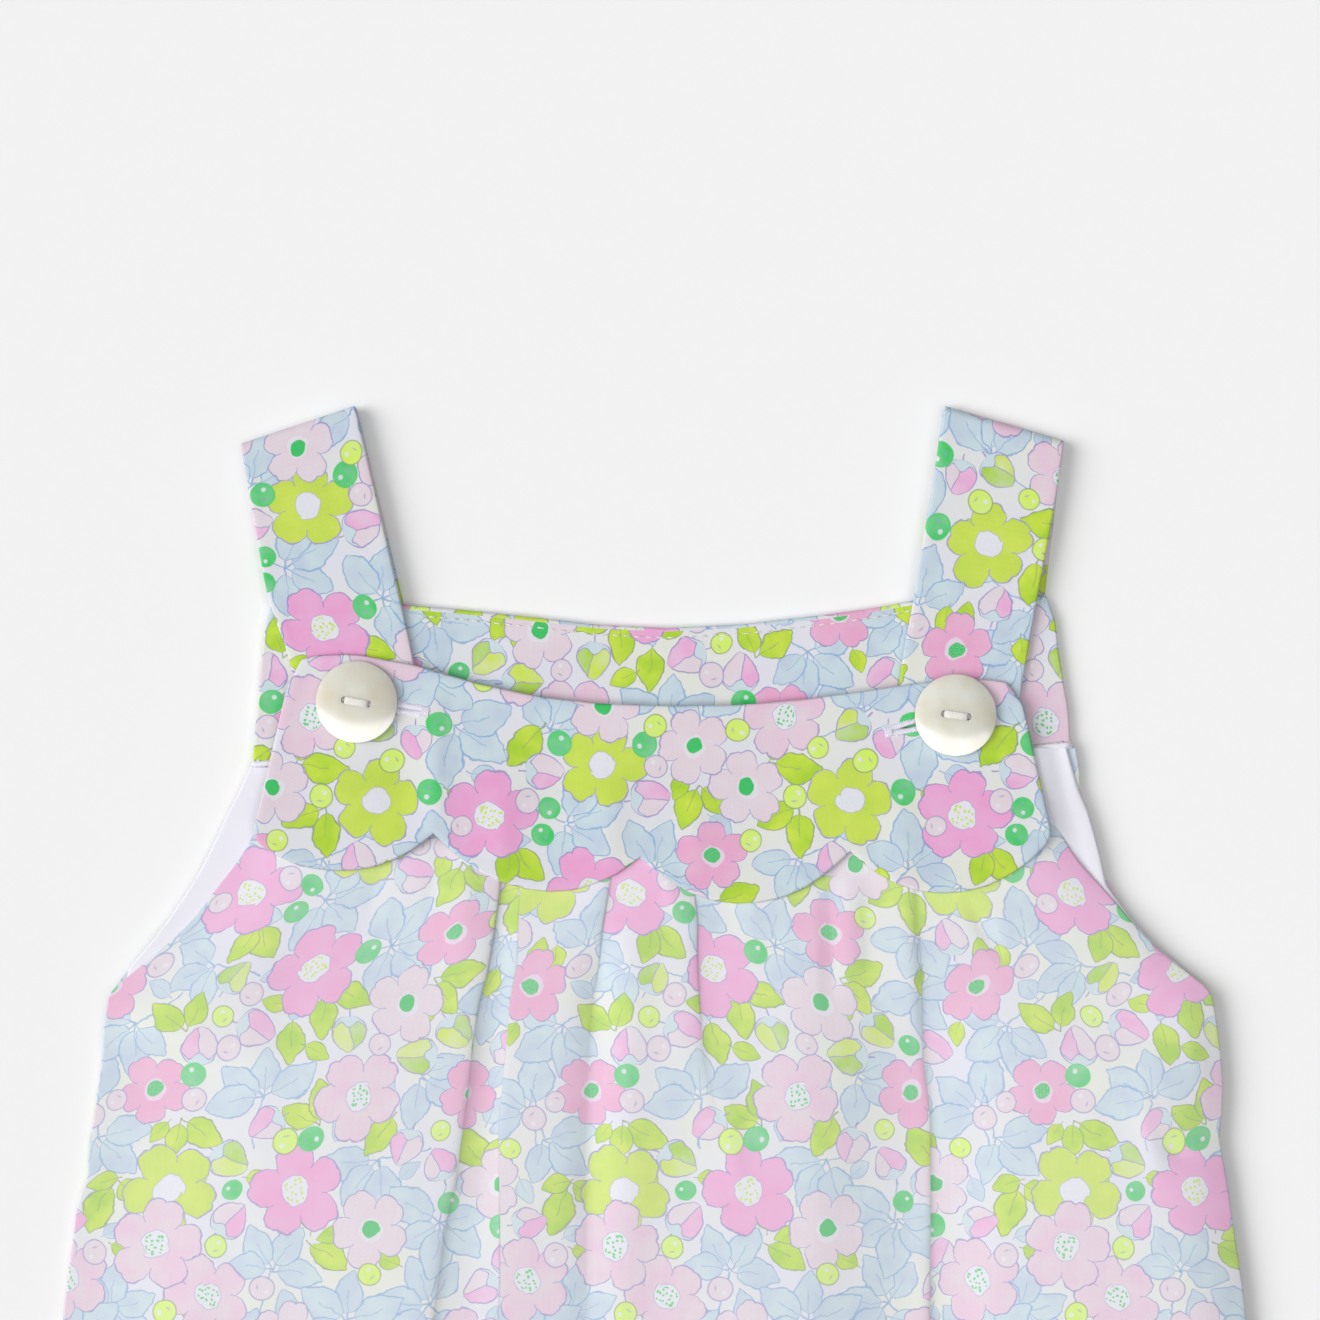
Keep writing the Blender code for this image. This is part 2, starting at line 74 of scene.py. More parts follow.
# Fine steps of a grid beside an edge or a fold, as distances from it.
EDGE_STEPS = (0.0, 0.1, 0.28, 0.55, 0.95, 1.6)
FOLD_LEFT_STEPS = (0.0, 0.08, 0.2, 0.4, 0.8, 1.5)
FOLD_RIGHT_STEPS = (0.16, 0.4, 0.8, 1.4, 2.2)

# Pleats of the front panel. The upper layer lies on the left of the line and ends in the fold. Rows of each
# table: level, then x of the line, height of the fold over the layer below, or width of the cloth hidden in
# it. A row of "soft" has the share of the height that rolls over before the line, the width of that roll, the
# share that runs out beyond the line and the width of that run.
PLEATS = {
    "left pleat": {
        "line": ((150, -33.5), (133, -34.8), (130, -35.2), (123.4, -36.1), (114.6, -37.6), (109, -39.2),
                 (100, -40.7), (94, -41.2), (87, -42.0), (80, -42.9), (69.5, -44.4), (59.6, -46.6),
                 (41, -49.1), (0, -53.0), (-60, -56.0)),
        "step": ((135, 1.7), (115, 2.1), (96, 2.3), (75, 2.2), (38, 1.9), (0, 1.0), (-60, 0.0)),
        "soft": ((135, 0.5, 1.7, 0.1, 0.8), (112, 0.6, 1.9, 0.25, 1.3), (101, 0.42, 1.8, 0.55, 1.8),
                 (88, 0.5, 1.7, 0.48, 1.8)),
        "hidden": ((133, 8.0), (100, 4.5), (66, 0.0)),
        "spread": 13.0,
    },
    "left pleat, inner line": {
        "line": ((150, -29.9), (128, -30.6), (117, -31.0), (109, -32.6), (91.5, -34.1), (82.7, -35.0),
                 (71.7, -35.0), (60.7, -34.8), (47.5, -34.8), (0, -37.0), (-60, -38.5)),
        "step": ((135, 0.06), (96, 0.12), (38, 0.16), (-20, 0.0)),
        "soft": ((135, 0.2, 0.5, 0.3, 0.5),),
        "hidden": ((133, 6.0), (90, 5.0), (38, 3.0), (-20, 0.0)),
        "spread": 2.0,
    },
    "left tuck": {
        "line": ((150, -9.6), (136.6, -10.3), (131, -11.2), (124.5, -12.3), (119, -12.8), (114.6, -13.4),
                 (109, -14.5), (96, -15.7), (76, -16.2), (38.7, -16.0), (0, -17.5), (-60, -18.5)),
        "step": ((136, 1.2), (125, 1.6), (113, 1.1), (96, 0.5), (38, 0.5), (-20, 0.0)),
        "soft": ((135, 0.75, 1.9, 0.1, 0.5), (116, 0.75, 1.9, 0.15, 0.6), (104, 0.75, 1.9, 0.25, 0.6)),
        "hidden": ((133, 7.0), (114, 0.0)),
        "spread": 8.0,
    },
    "right tuck": {
        "line": ((150, 7.4), (131.8, 8.1), (126.3, 8.7), (120, 8.6), (112.4, 8.9), (104.7, 9.4), (96, 9.9),
                 (82.7, 13.2), (60, 14.5), (0, 16.0), (-60, 17.0)),
        "step": ((134, 1.4), (118, 1.5), (102, 1.35), (90, 0.8), (70, 0.0)),
        "soft": ((135, 0.7, 2.0, 0.15, 0.6), (112, 0.7, 1.9, 0.2, 0.7), (102, 0.65, 1.9, 0.35, 1.1)),
        "hidden": ((133, 7.0), (96, 0.0)),
        "spread": 10.0,
    },
    "right pleat": {
        "line": ((150, 56.6), (126, 57.1), (118, 57.6), (107, 58.0), (96, 58.2), (89, 59.2), (83, 59.8),
                 (63, 59.9), (38.7, 59.7), (0, 61.0), (-60, 63.0)),
        "step": ((127, 0.1), (122, 0.6), (110, 1.1), (80, 1.45), (38, 1.5), (0, 0.7), (-60, 0.0)),
        "soft": ((120, 0.55, 1.7, 0.35, 0.9), (96, 0.58, 1.3, 0.42, 0.9), (38, 0.6, 1.2, 0.4, 0.9)),
        "hidden": ((118, 0.0), (108, 5.0), (38, 5.0), (-50, 0.0)),
        "spread": 6.0,
    },
}

# Soft folds of the front panel: name, x and y of the upper end, x and y of the lower end, half width on the
# left and on the right, height (below zero for a trough).
SOFT_FOLDS = (
    ("rise at the inner line", -30.0, 134, -37.4, 20, 2.4, 15.0, 0.7),
    ("hollow at the left tuck", -12.6, 126, -15.8, 56, 4.0, 4.0, -1.0),
    ("its lower part", -15.0, 78, -17.0, 4, 3.2, 4.0, -0.5),
    ("ridge beside the left tuck", -6.4, 130, -7.6, 10, 5.0, 6.0, 0.7),
    ("small tuck left of the centre", 1.5, 139, 4.5, 126, 1.6, 1.3, 0.35),
    ("hollow beside the right tuck", 13.0, 137, 16.5, 84, 3.0, 9.0, -0.15),
    ("small tuck right of the centre", 19.4, 136, 21.0, 122, 1.8, 1.5, 0.35),
    ("end of the right tuck", 14.0, 96, 18.0, 64, 3.0, 2.2, 0.3),
    ("thin line", 37.4, 143, 37.5, 103, 0.9, 2.2, -0.5),
    ("ridge beside the thin line", 42.4, 141, 42.6, 108, 2.6, 2.6, 0.35),
    ("second thin line", 45.8, 138, 46.0, 106, 0.9, 1.4, -0.3),
    ("ridge over the right pleat", 55.0, 141, 56.4, 98, 5.0, 1.1, 0.55),
    ("hollow at the right pleat", 57.6, 112, 61.0, -20, 13.0, 12.0, -1.5),
    ("short crease, right", 66.6, 133, 77.0, 115, 1.3, 2.2, -0.6),
    ("short crease, left", -60.5, 143, -64.4, 124, 1.3, 1.8, -0.3),
    ("short crease, far left", -46.6, 146, -51.4, 126, 1.3, 1.8, -0.35),
    ("ridge below the bib", -42.0, 146, -43.5, 116, 7.0, 3.0, 0.6),
    ("rise at the left", -92.0, 124, -97.0, 90, 13.0, 10.0, 0.5),
    ("rise at the middle left", -60.0, 116, -64.0, 30, 21.0, 12.0, 0.9),
    ("rise right of the centre", 28.0, 132, 33.0, -60, 26.0, 17.0, 1.3),
    ("edge crease, right", 115.0, 120, 122.0, 82, 3.0, 1.6, 0.4),
    ("slanting crease, right", 104.0, 96, 113.0, 66, 3.0, 1.6, 0.35),
    ("pinch of the side seam", 112.0, 80, 119.0, 72, 2.6, 3.0, -0.6),
    ("low left", -104.0, 40, -112.0, -60, 16.0, 9.0, 0.8),
    ("long fold of the left leg", -62.0, 10, -78.0, -190, 14.0, 7.0, -1.6),
    ("knee of the left leg", -104.0, -70, -96.0, -160, 9.0, 13.0, 1.1),
    ("long fold of the right leg", 60.0, -20, 82.0, -200, 8.0, 14.0, -1.6),
    ("knee of the right leg", 108.0, -60, 112.0, -150, 11.0, 8.0, 1.2),
    ("seat, left", -30.0, 10, -22.0, -86, 11.0, 6.0, -1.1),
    ("seat, right", 26.0, 16, 18.0, -84, 6.0, 11.0, -1.1),
    ("crease from the crotch, left", -5.0, -98, -34.0, -128, 2.6, 4.6, 0.8),
    ("crease from the crotch, right", 6.0, -97, 38.0, -124, 4.6, 2.6, 0.8),
)


# How far the side seams lie out of their even course, by level: outwards is above zero. It fades in over a
# stretch that starts at a distance from the middle.
SIDE_START, SIDE_FADE = 98.0, 20.0
SIDE_WAVES = {
    "left": ((112, 0.0), (101, 0.5), (93, 0.4), (82, 0.6), (77, 0.9), (73, 0.6), (70, 0.2), (66.5, 1.3),
             (62, 1.8), (57, 1.5), (51, 1.4), (42, 1.1), (28, 0.4), (10, 0.9), (-20, 0.2), (-45, 0.8),
             (-80, 0.0)),
    "right": ((109, 0.0), (101, -0.3), (91, -0.3), (86, -0.8), (82, -1.4), (78.5, -2.1), (74, -1.7),
              (68, -1.1), (58, -0.6), (46, 0.2), (38, 0.3), (20, -0.5), (0, 0.4), (-30, -0.5), (-60, 0.4),
              (-80, 0.0)),
}


# --------------------------------------------------------------------------------------------------
# Small helpers for shapes.
def ease(value):
    """0 to 1 with soft ends, for numbers and arrays."""
    held = np.clip(value, 0.0, 1.0)
    return held * held * (3.0 - 2.0 * held)


def by_level(table, y, column=1):
    """Read a column of a table of rows that start with a level; the level falls from row to row."""
    rows = sorted(table)
    return np.interp(y, [row[0] for row in rows], [row[column] for row in rows])


def ripples(x, y, seed, amount, length, stretch=2.5):
    """A few soft waves, longer along y, that make cloth uneven."""
    draw = random.Random(seed)
    height = np.zeros_like(x)
    for _ in range(9):
        turn = draw.uniform(-0.9, 0.9)
        size = length * draw.uniform(0.7, 1.5)
        across = (x * math.cos(turn) + y * math.sin(turn) / stretch) / size
        height += np.sin(across * math.tau + draw.uniform(0.0, math.tau)) * draw.uniform(0.4, 1.0)
    return height * amount / 4.0


def plan_loops(node):
    """Outlines of a CAD wall seen from above, in millimetres and counter-clockwise, the longest one first.

    They are chained from the wall's upright faces; of two ways on from a point, the shorter one is taken.
    """
    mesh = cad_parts[node].data
    follows, reach = {}, {}
    for face in mesh.polygons:
        if abs(face.normal.z) > 0.05:
            continue
        spots = [tuple(round(value / MM, 2) for value in mesh.vertices[k].co[:2]) for k in face.vertices]
        for first, second in zip(spots, spots[1:] + spots[:1]):
            step = (second[0] - first[0], second[1] - first[1])
            if step[0] * face.normal.y - step[1] * face.normal.x > 0.0:
                first, second = second, first
            length = math.hypot(*step)
            if 0.0 < length < reach.get(first, math.inf):
                follows[first], reach[first] = second, length
    loops = []
    while follows:
        start = next(iter(follows))
        loop, spot = [], start
        while spot in follows:
            loop.append(spot)
            spot = follows.pop(spot)
        loops.append(np.array(loop))
    loops.sort(key=len, reverse=True)
    return loops


def crossings(loop, y):
    """The x of each place where an outline crosses one level, from left to right."""
    ahead = np.roll(loop, -1, axis=0)
    low, high = np.minimum(loop[:, 1], ahead[:, 1]), np.maximum(loop[:, 1], ahead[:, 1])
    cut = (low <= y) & (y < high)
    share = (y - loop[cut, 1]) / (ahead[cut, 1] - loop[cut, 1])
    return np.sort(loop[cut, 0] + share * (ahead[cut, 0] - loop[cut, 0]))


def distance_to(loop, x, y):
    """Distance of each point from a closed outline."""
    points = np.column_stack((x.ravel(), y.ravel()))
    ahead = np.roll(loop, -1, axis=0) - loop
    length = np.maximum((ahead ** 2).sum(axis=1), 1e-12)
    nearest = np.full(len(points), np.inf)
    for start, step, squared in zip(loop, ahead, length):
        away = points - start
        share = np.clip((away @ step) / squared, 0.0, 1.0)
        nearest = np.minimum(nearest, np.hypot(*(away - share[:, None] * step).T))
    return nearest.reshape(x.shape)


def rounded_edge(distance, width, height=None):
    """How far a surface has dropped near a soft edge: its whole height at the edge, nothing further in."""
    inward = np.clip(1.0 - distance / width, 0.0, 1.0)
    return (width if height is None else height) * (1.0 - np.sqrt(1.0 - inward ** 2))


# --------------------------------------------------------------------------------------------------
# The print: a repeat of ordinary blossoms, buds, leaves and berries, laid out by a rule of its own.
REPEAT = np.array((104.0, 122.0))
Motif = namedtuple("Motif", "x y turn size kind")

# For each family of motifs: how many may overlap on one face, its reach behind, ahead and to the sides, and
# how much its lines wander.
FAMILIES = {
    "leaf": {"slots": 6, "behind": 1.0, "ahead": 12.4, "side": 4.4, "wander": 1.0},
    "bud": {"slots": 2, "behind": 1.0, "ahead": 11.8, "side": 5.4, "wander": 0.8},
    "blossom": {"slots": 2, "behind": 11.0, "ahead": 11.0, "side": 11.0, "wander": 1.0},
    "berry": {"slots": 3, "behind": 3.2, "ahead": 3.2, "side": 3.2, "wander": 0.3},
}
# What a face holds in place of a motif that isn't there.
FAR_PLACE = (99.0, 99.0, 0.0)
# Blossoms by kind: size, as a share of the full radius of 10, and how many the repeat holds.
BLOSSOMS = ((1.04, 3), (1.0, 5), (1.02, 3), (0.82, 4), (0.88, 6))
BLOSSOM_TRIES = 400
# What is scattered between the blossoms: how many at most, how many places are tried for each, and the share
# of its shape that may be taken already.
SCATTER = {
    "spray": (20, 160, 0.62),
    "leaf of a spray": (5, 8, 0.6),
    "bud": (20, 220, 0.24),
    "pair of leaves": (15, 220, 0.35),
    "second of a pair": (15, 6, 0.35),
    "berry": (38, 160, 0.2),
    "small leaf": (44, 120, 0.2),
}


class Layout:
    """Places motifs on the repeat, each where it covers least of what is there."""

    def __init__(self, seed):
        self.draw = random.Random(seed)
        self.taken = np.zeros((int(REPEAT[0]), int(REPEAT[1])))
        self.motifs = {family: [] for family in FAMILIES}

    def cells(self, motif, shape):
        """Grid cells under a motif's sample points."""
        points = shape * motif.size
        cos, sin = math.cos(motif.turn), math.sin(motif.turn)
        x = motif.x + points[:, 0] * cos - points[:, 1] * sin
        y = motif.y + points[:, 0] * sin + points[:, 1] * cos
        return np.floor(x).astype(int) % self.taken.shape[0], np.floor(y).astype(int) % self.taken.shape[1]

    def covers(self, motif, shape):
        """Share of a motif's shape that is taken already."""
        return float(self.taken[self.cells(motif, shape)].mean())

    def put(self, family, motif, shape):
        """Add a motif and take its cells."""
        self.motifs[family].append(motif)
        self.taken[self.cells(motif, shape)] = 1.0

    def best(self, tries, size, kind, shape, around=None, turn=None, spread=math.pi):
        """The freest of some random places for a motif, near a point and a direction if they are given."""
        found = None
        for _ in range(tries):
            if around is None:
                x, y = self.draw.uniform(0.0, REPEAT[0]), self.draw.uniform(0.0, REPEAT[1])
            else:
                x, y = around
            angle = self.draw.uniform(-spread, spread) + (turn or 0.0)
            motif = Motif(x, y, angle, size, kind)
            share = self.covers(motif, shape)
            if found is None or share < found[0]:
                found = (share, motif)
        return found

    def scatter(self, group, family, shape, look, until_full=False):
        """Add a group of motifs where there is room; `look` gives the size and kind of each by its number."""
        count, tries, most = SCATTER[group]
        for number in range(count):
            share, motif = self.best(tries, shape=shape, **look(number))
            if share <= most:
                self.put(family, motif, shape)
            elif until_full:
                break


def disc_points(radius):
    """Sample points of a disc."""
    return np.array([(radius * r * math.cos(a), radius * r * math.sin(a))
                     for r in (0.25, 0.55, 0.8, 1.0) for a in np.linspace(0.0, math.tau, 14, endpoint=False)])


def leaf_points(length, half_width):
    """Sample points of a leaf that starts a little after its own origin."""
    return np.array([(1.5 + t * (length - 1.5), side * half_width * math.sin(math.pi * t))
                     for t in np.linspace(0.06, 0.98, 12) for side in (-0.9, -0.45, 0.0, 0.45, 0.9)])


def lay_out_print(seed):
    """The motifs of one repeat, family by family in the order in which they are painted."""
    layout = Layout(seed)
    disc, berry = disc_points(1.0), disc_points(2.9)
    leaf, bud = leaf_points(11.0, 3.0), leaf_points(10.6, 4.2)
    clear = disc * 12.2
    kinds = [kind for kind, (_, count) in enumerate(BLOSSOMS) for _ in range(count)]
    layout.draw.shuffle(kinds)
    for kind in kinds:
        size = BLOSSOMS[kind][0] * layout.draw.uniform(0.96, 1.04)
        _, motif = layout.best(BLOSSOM_TRIES, size, kind, clear)
        layout.put("blossom", motif, disc * 9.0)
    count, tries, most = SCATTER["spray"]
    _, leaf_tries, most_on_leaf = SCATTER["leaf of a spray"]
    for _ in range(count):
        share, node = layout.best(tries, 1.0, 0, disc * 6.0)
        if share > most:
            continue
        spray = layout.draw.choice((3, 3, 4, 5))
        step = math.radians(layout.draw.uniform(48.0, 60.0))
        start = layout.draw.uniform(0.0, math.tau)
        for place in range(spray):
            kind = layout.draw.uniform(0.1, 0.9)
            size = layout.draw.uniform(0.9, 1.28)
            turn = start + place * step
            share, motif = layout.best(leaf_tries, size, kind, leaf, (node.x, node.y), turn, 0.16)
            if share < most_on_leaf:
                layout.put("leaf", motif, leaf)
        stem_turn = start + (spray + 0.6) * step
        stem = Motif(node.x, node.y, stem_turn, 1.05, 2.0 + layout.draw.uniform(0.1, 0.9))
        layout.motifs["leaf"].append(stem)
    layout.scatter("bud", "bud", bud, lambda number: {
        "size": layout.draw.uniform(0.86, 1.04), "kind": number % 3 + layout.draw.uniform(0.1, 0.9)})
    count, tries, most = SCATTER["pair of leaves"]
    _, second_tries, most_on_second = SCATTER["second of a pair"]
    for _ in range(count):
        kind = 1.0 + layout.draw.uniform(0.1, 0.9)
        share, motif = layout.best(tries, layout.draw.uniform(0.85, 1.15), kind, leaf)
        if share > most:
            continue
        layout.put("leaf", motif, leaf)
        turn = motif.turn + layout.draw.choice((-1.0, 1.0)) * layout.draw.uniform(1.0, 1.4)
        kind = 1.0 + layout.draw.uniform(0.1, 0.9)
        size = layout.draw.uniform(0.7, 0.95)
        share, second = layout.best(second_tries, size, kind, leaf, (motif.x, motif.y), turn, 0.25)
        if share < most_on_second:
            layout.put("leaf", second, leaf)
    layout.scatter("berry", "berry", berry, lambda number: {
        "size": layout.draw.uniform(0.76, 0.98), "kind": number % 3}, until_full=True)
    layout.scatter("small leaf", "leaf", leaf, lambda number: {
        "kind": number % 4 // 2 + layout.draw.uniform(0.1, 0.9), "size": layout.draw.uniform(0.55, 0.85)})
    return layout.motifs


PRINT = lay_out_print(seed=106)


def print_places(flat, faces):
    """For each family, the place of every corner in each of the motifs that reach its face.

    A place is the corner's x and y in the motif's own axes and the motif's kind; faces without a motif hold
    a place far outside it. The motif painted last comes last.
    """
    corners = flat[faces]
    centres = corners.mean(axis=1)
    reach = np.minimum(np.linalg.norm(corners - centres[:, None, :], axis=2).max(axis=1) + 0.3, 4.0)
    places = {}
    for family, motifs in PRINT.items():
        bounds, table = FAMILIES[family], np.array(motifs)
        away = centres[:, None, :] - table[None, :, :2]
        away -= REPEAT * np.round(away / REPEAT)
        cos, sin = np.cos(table[:, 2]), np.sin(table[:, 2])
        x = (away[..., 0] * cos + away[..., 1] * sin) / table[:, 3]
        y = (away[..., 1] * cos - away[..., 0] * sin) / table[:, 3]
        margin = reach[:, None] / table[:, 3]
        middle, half = (bounds["ahead"] - bounds["behind"]) / 2, (bounds["ahead"] + bounds["behind"]) / 2
        side = np.where((table[:, 4] >= 2.0) & (family == "leaf"), 2.0, bounds["side"])
        hit = ((x - middle) / (half + margin)) ** 2 + (y / (side + margin)) ** 2 < 1.0
        numbers = np.where(hit, np.arange(len(motifs)), -1)
        chosen = np.sort(numbers, axis=1)[:, -bounds["slots"]:]
        for slot in range(bounds["slots"]):
            number = chosen[:, slot]
            base = centres - away[np.arange(len(faces)), number]
            ahead, up = np.moveaxis(corners - base[:, None, :], -1, 0)
            cos_one, sin_one, size, kind = (column[number, None] for column in (cos, sin, *table.T[3:]))
            place = np.empty((len(faces), 4, 3), np.float32)
            place[..., 0] = (ahead * cos_one + up * sin_one) / size
            place[..., 1] = (up * cos_one - ahead * sin_one) / size
            place[..., 2] = kind
            place[number < 0] = FAR_PLACE
            places[f"{family}_{slot}"] = place
    return places


# --------------------------------------------------------------------------------------------------
# Node trees written as sums.
class Value:
    """A number in a node tree; arithmetic on it adds Math nodes."""

    def __init__(self, tree, socket):
        self.tree, self.socket = tree, socket

    def math(self, operation, *others, clamp=False):
        """The result of a Math node with this number as its first input."""
        node = self.tree.nodes.new("ShaderNodeMath")
        node.operation, node.use_clamp = operation, clamp
        for socket, value in zip(node.inputs, (self, *others)):
            feed(self.tree, socket, value)
        return Value(self.tree, node.outputs[0])

    def __neg__(self):
        return self * -1.0

    def __rsub__(self, other):
        return -self + other

    def clamped(self):
        return self.math("ADD", 0.0, clamp=True)

    def inside(self, softness=0.07):
        """1 where the number is above zero, with a soft edge."""
        return (self / (2.0 * softness) + 0.5).clamped()

    def line(self, half_width, softness=0.07):
        """1 along the places where the number is zero, as a drawn line."""
        return (half_width - self.absolute()).inside(softness)


def math_method(operation):
    """A method of Value that adds one Math node."""
    return lambda self, *others: self.math(operation, *others)


for method_name, operation_name in {
    "__add__": "ADD", "__radd__": "ADD", "__sub__": "SUBTRACT", "__mul__": "MULTIPLY", "__rmul__": "MULTIPLY",
    "__truediv__": "DIVIDE", "__pow__": "POWER", "sin": "SINE", "cos": "COSINE", "root": "SQRT",
    "absolute": "ABSOLUTE", "floor": "FLOOR", "fraction": "FRACT", "largest": "MAXIMUM",
    "above": "GREATER_THAN", "below": "LESS_THAN",
}.items():
    setattr(Value, method_name, math_method(operation_name))


def feed(tree, socket, value):
    """Link a value or a socket to an input, or set the input to a plain number."""
    if isinstance(value, Value):
        tree.links.new(value.socket, socket)
    elif isinstance(value, bpy.types.NodeSocket):
        tree.links.new(value, socket)
    else:
        socket.default_value = value


def rgb(code):
    """A colour written as six hexadecimal digits, as linear numbers."""
    parts = [int(code[k:k + 2], 16) / 255.0 for k in (0, 2, 4)]
    return tuple(p / 12.92 if p <= 0.04045 else ((p + 0.055) / 1.055) ** 2.4 for p in parts) + (1.0,)


def add_node(tree, kind, inputs, **settings):
    """A shader node with its settings, and a number, a colour or a link on each of the inputs named."""
    node = tree.nodes.new("ShaderNode" + kind)
    for name, value in settings.items():
        setattr(node, name, value)
    for name, value in inputs.items():
        feed(tree, node.inputs[name], value)
    return node


def mixed(tree, factor, first, second):
    """Socket of a colour between two others."""
    node = add_node(tree, "Mix", {"Factor": factor}, data_type="RGBA")
    for name, colour in (("A", first), ("B", second)):
        feed(tree, next(s for s in node.inputs if s.name == name and s.type == "RGBA"), colour)
    return next(s for s in node.outputs if s.type == "RGBA")


def chosen(tree, number, colours):
    """Socket of the colour whose place in the list is the whole part of a number."""
    ramp = tree.nodes.new("ShaderNodeValToRGB")
    ramp.color_ramp.interpolation = "CONSTANT"
    elements = ramp.color_ramp.elements
    elements[0].color = colours[0]
    elements[-1].position, elements[-1].color = (len(colours) - 1) / len(colours), colours[-1]
    for place, colour in enumerate(colours[1:-1], start=1):
        elements.new(place / len(colours)).color = colour
    feed(tree, ramp.inputs[0], (number + 0.5) / len(colours))
    return ramp.outputs["Color"]


def noise(tree, place, scale, detail, output=0):
    """Output of a soft noise over a place: a number around 0.5, or a colour if the output is 1."""
    node = add_node(tree, "TexNoise", {"Scale": scale, "Detail": detail, "Vector": place})
    return Value(tree, node.outputs[output])


def attribute(tree, name):
    """Socket of what the corners of a mesh hold under a name."""
    return add_node(tree, "Attribute", {}, attribute_name=name).outputs["Vector"]


# --------------------------------------------------------------------------------------------------
# The motifs, as node groups that paint themselves over the colour below. Lengths are in millimetres.
PINK, PALE_PINK, ROSE = rgb("d79fc5"), rgb("d0c2ca"), rgb("da83b8")
LIME, LIME_LEAF, LIME_BERRY = rgb("bcd140"), rgb("9cc226"), rgb("c2dd5a")
BLUE_LEAF, BLUE_SHADE, BLUE_LINE = rgb("bbcbd1"), rgb("b0bece"), rgb("7c9fc4")
GREEN, GREEN_EYE = rgb("34b95e"), rgb("32b25c")
VIOLET_LINE, OLIVE_LINE = rgb("8d84b6"), rgb("7f8f6a")
# The last colour here is not part of the print: it is the pale colour of a painted sheen laid over the
# panel's print.
WHITE, CREAM, LAVENDER, PAINTED_SHEEN = rgb("d2d2da"), rgb("d1d3cb"), rgb("ceced8"), rgb("f4f5fb")


def motif_group(name, paint, wander):
    """A node group: a motif's place, its wobble, a wash and the colour below go in, the colour comes out."""
    tree = bpy.data.node_groups.new(name, "ShaderNodeTree")
    for socket, kind in (("Place", "Vector"), ("Wobble", "Vector"), ("Wash", "Float"), ("Below", "Color")):
        tree.interface.new_socket(name=socket, in_out="INPUT", socket_type="NodeSocket" + kind)
    tree.interface.new_socket(name="Colour", in_out="OUTPUT", socket_type="NodeSocketColor")
    entry, leave = tree.nodes.new("NodeGroupInput"), tree.nodes.new("NodeGroupOutput")
    place = entry.outputs["Place"]
    moved = add_node(tree, "VectorMath", {0: entry.outputs["Wobble"], 1: (wander, wander, 0.0), 2: place},
                     operation="MULTIPLY_ADD")
    apart = add_node(tree, "SeparateXYZ", {0: moved.outputs[0]})
    kind = Value(tree, add_node(tree, "SeparateXYZ", {0: place}).outputs[2])
    x, y = (Value(tree, apart.outputs[axis]) for axis in (0, 1))
    feed(tree, leave.inputs["Colour"],
         paint(tree, x, y, kind, Value(tree, entry.outputs["Wash"]), entry.outputs["Below"]))
    return tree


def paint_leaf(tree, x, y, kind, wash, below):
    """A leaf on a short stalk: blue, lime, or only a stem, bent by the kind's fraction."""
    along = ((x - 1.5) / 9.6).clamped()
    bend = kind.fraction() - 0.5
    side = y - bend * along * (1.0 - along) * 7.0
    width = ((along ** 0.8) * math.pi).sin() ** 0.85 * 3.15 * kind.below(2.0)
    rim = width - side.absolute()
    on_leaf = rim.inside() * x.above(1.5) * x.below(11.1)
    is_lime = kind.above(1.0) * kind.below(2.0)
    fill = mixed(tree, is_lime, mixed(tree, wash, BLUE_LEAF, BLUE_SHADE), mixed(tree, wash, LIME_LEAF, LIME))
    line = mixed(tree, is_lime, BLUE_LINE, OLIVE_LINE)
    drawn = rim.line(0.17) * x.above(0.0) * x.below(11.1)
    vein = side.line(0.1) * along.below(0.55) * x.above(0.0) * 0.8
    colour = mixed(tree, on_leaf, below, fill)
    return mixed(tree, drawn.largest(vein) * 0.85, colour, line)


def paint_bud(tree, x, y, kind, wash, below):
    """A closed bud on a stalk, with one petal over the other and a pale calyx."""
    along = ((x - 1.6) / 8.6).clamped()
    width = ((along ** 0.72) * math.pi).sin() ** 0.62 * 3.9
    rim = width - y.absolute()
    on_bud = rim.inside() * x.above(1.6) * x.below(10.2)
    split = y - (x - 4.0) * (kind.fraction() - 0.5) * 0.9
    calyx = 3.6 + (y * 1.5).cos() * 0.7 - x
    number = kind.floor()
    petal = chosen(tree, number, (PINK, PALE_PINK, LIME))
    other = chosen(tree, number, (PALE_PINK, PINK, LIME_LEAF))
    fill = mixed(tree, split.inside(), petal, other)
    fill = mixed(tree, wash * 0.35, fill, WHITE)
    fill = mixed(tree, calyx.inside(), fill, BLUE_LEAF)
    drawn = rim.line(0.17) * x.above(0.0) * x.below(10.3)
    drawn = drawn.largest(split.line(0.12) * on_bud * calyx.below(0.0)).largest(calyx.line(0.14) * on_bud)
    colour = mixed(tree, on_bud, below, fill)
    return mixed(tree, drawn * 0.85, colour, VIOLET_LINE)


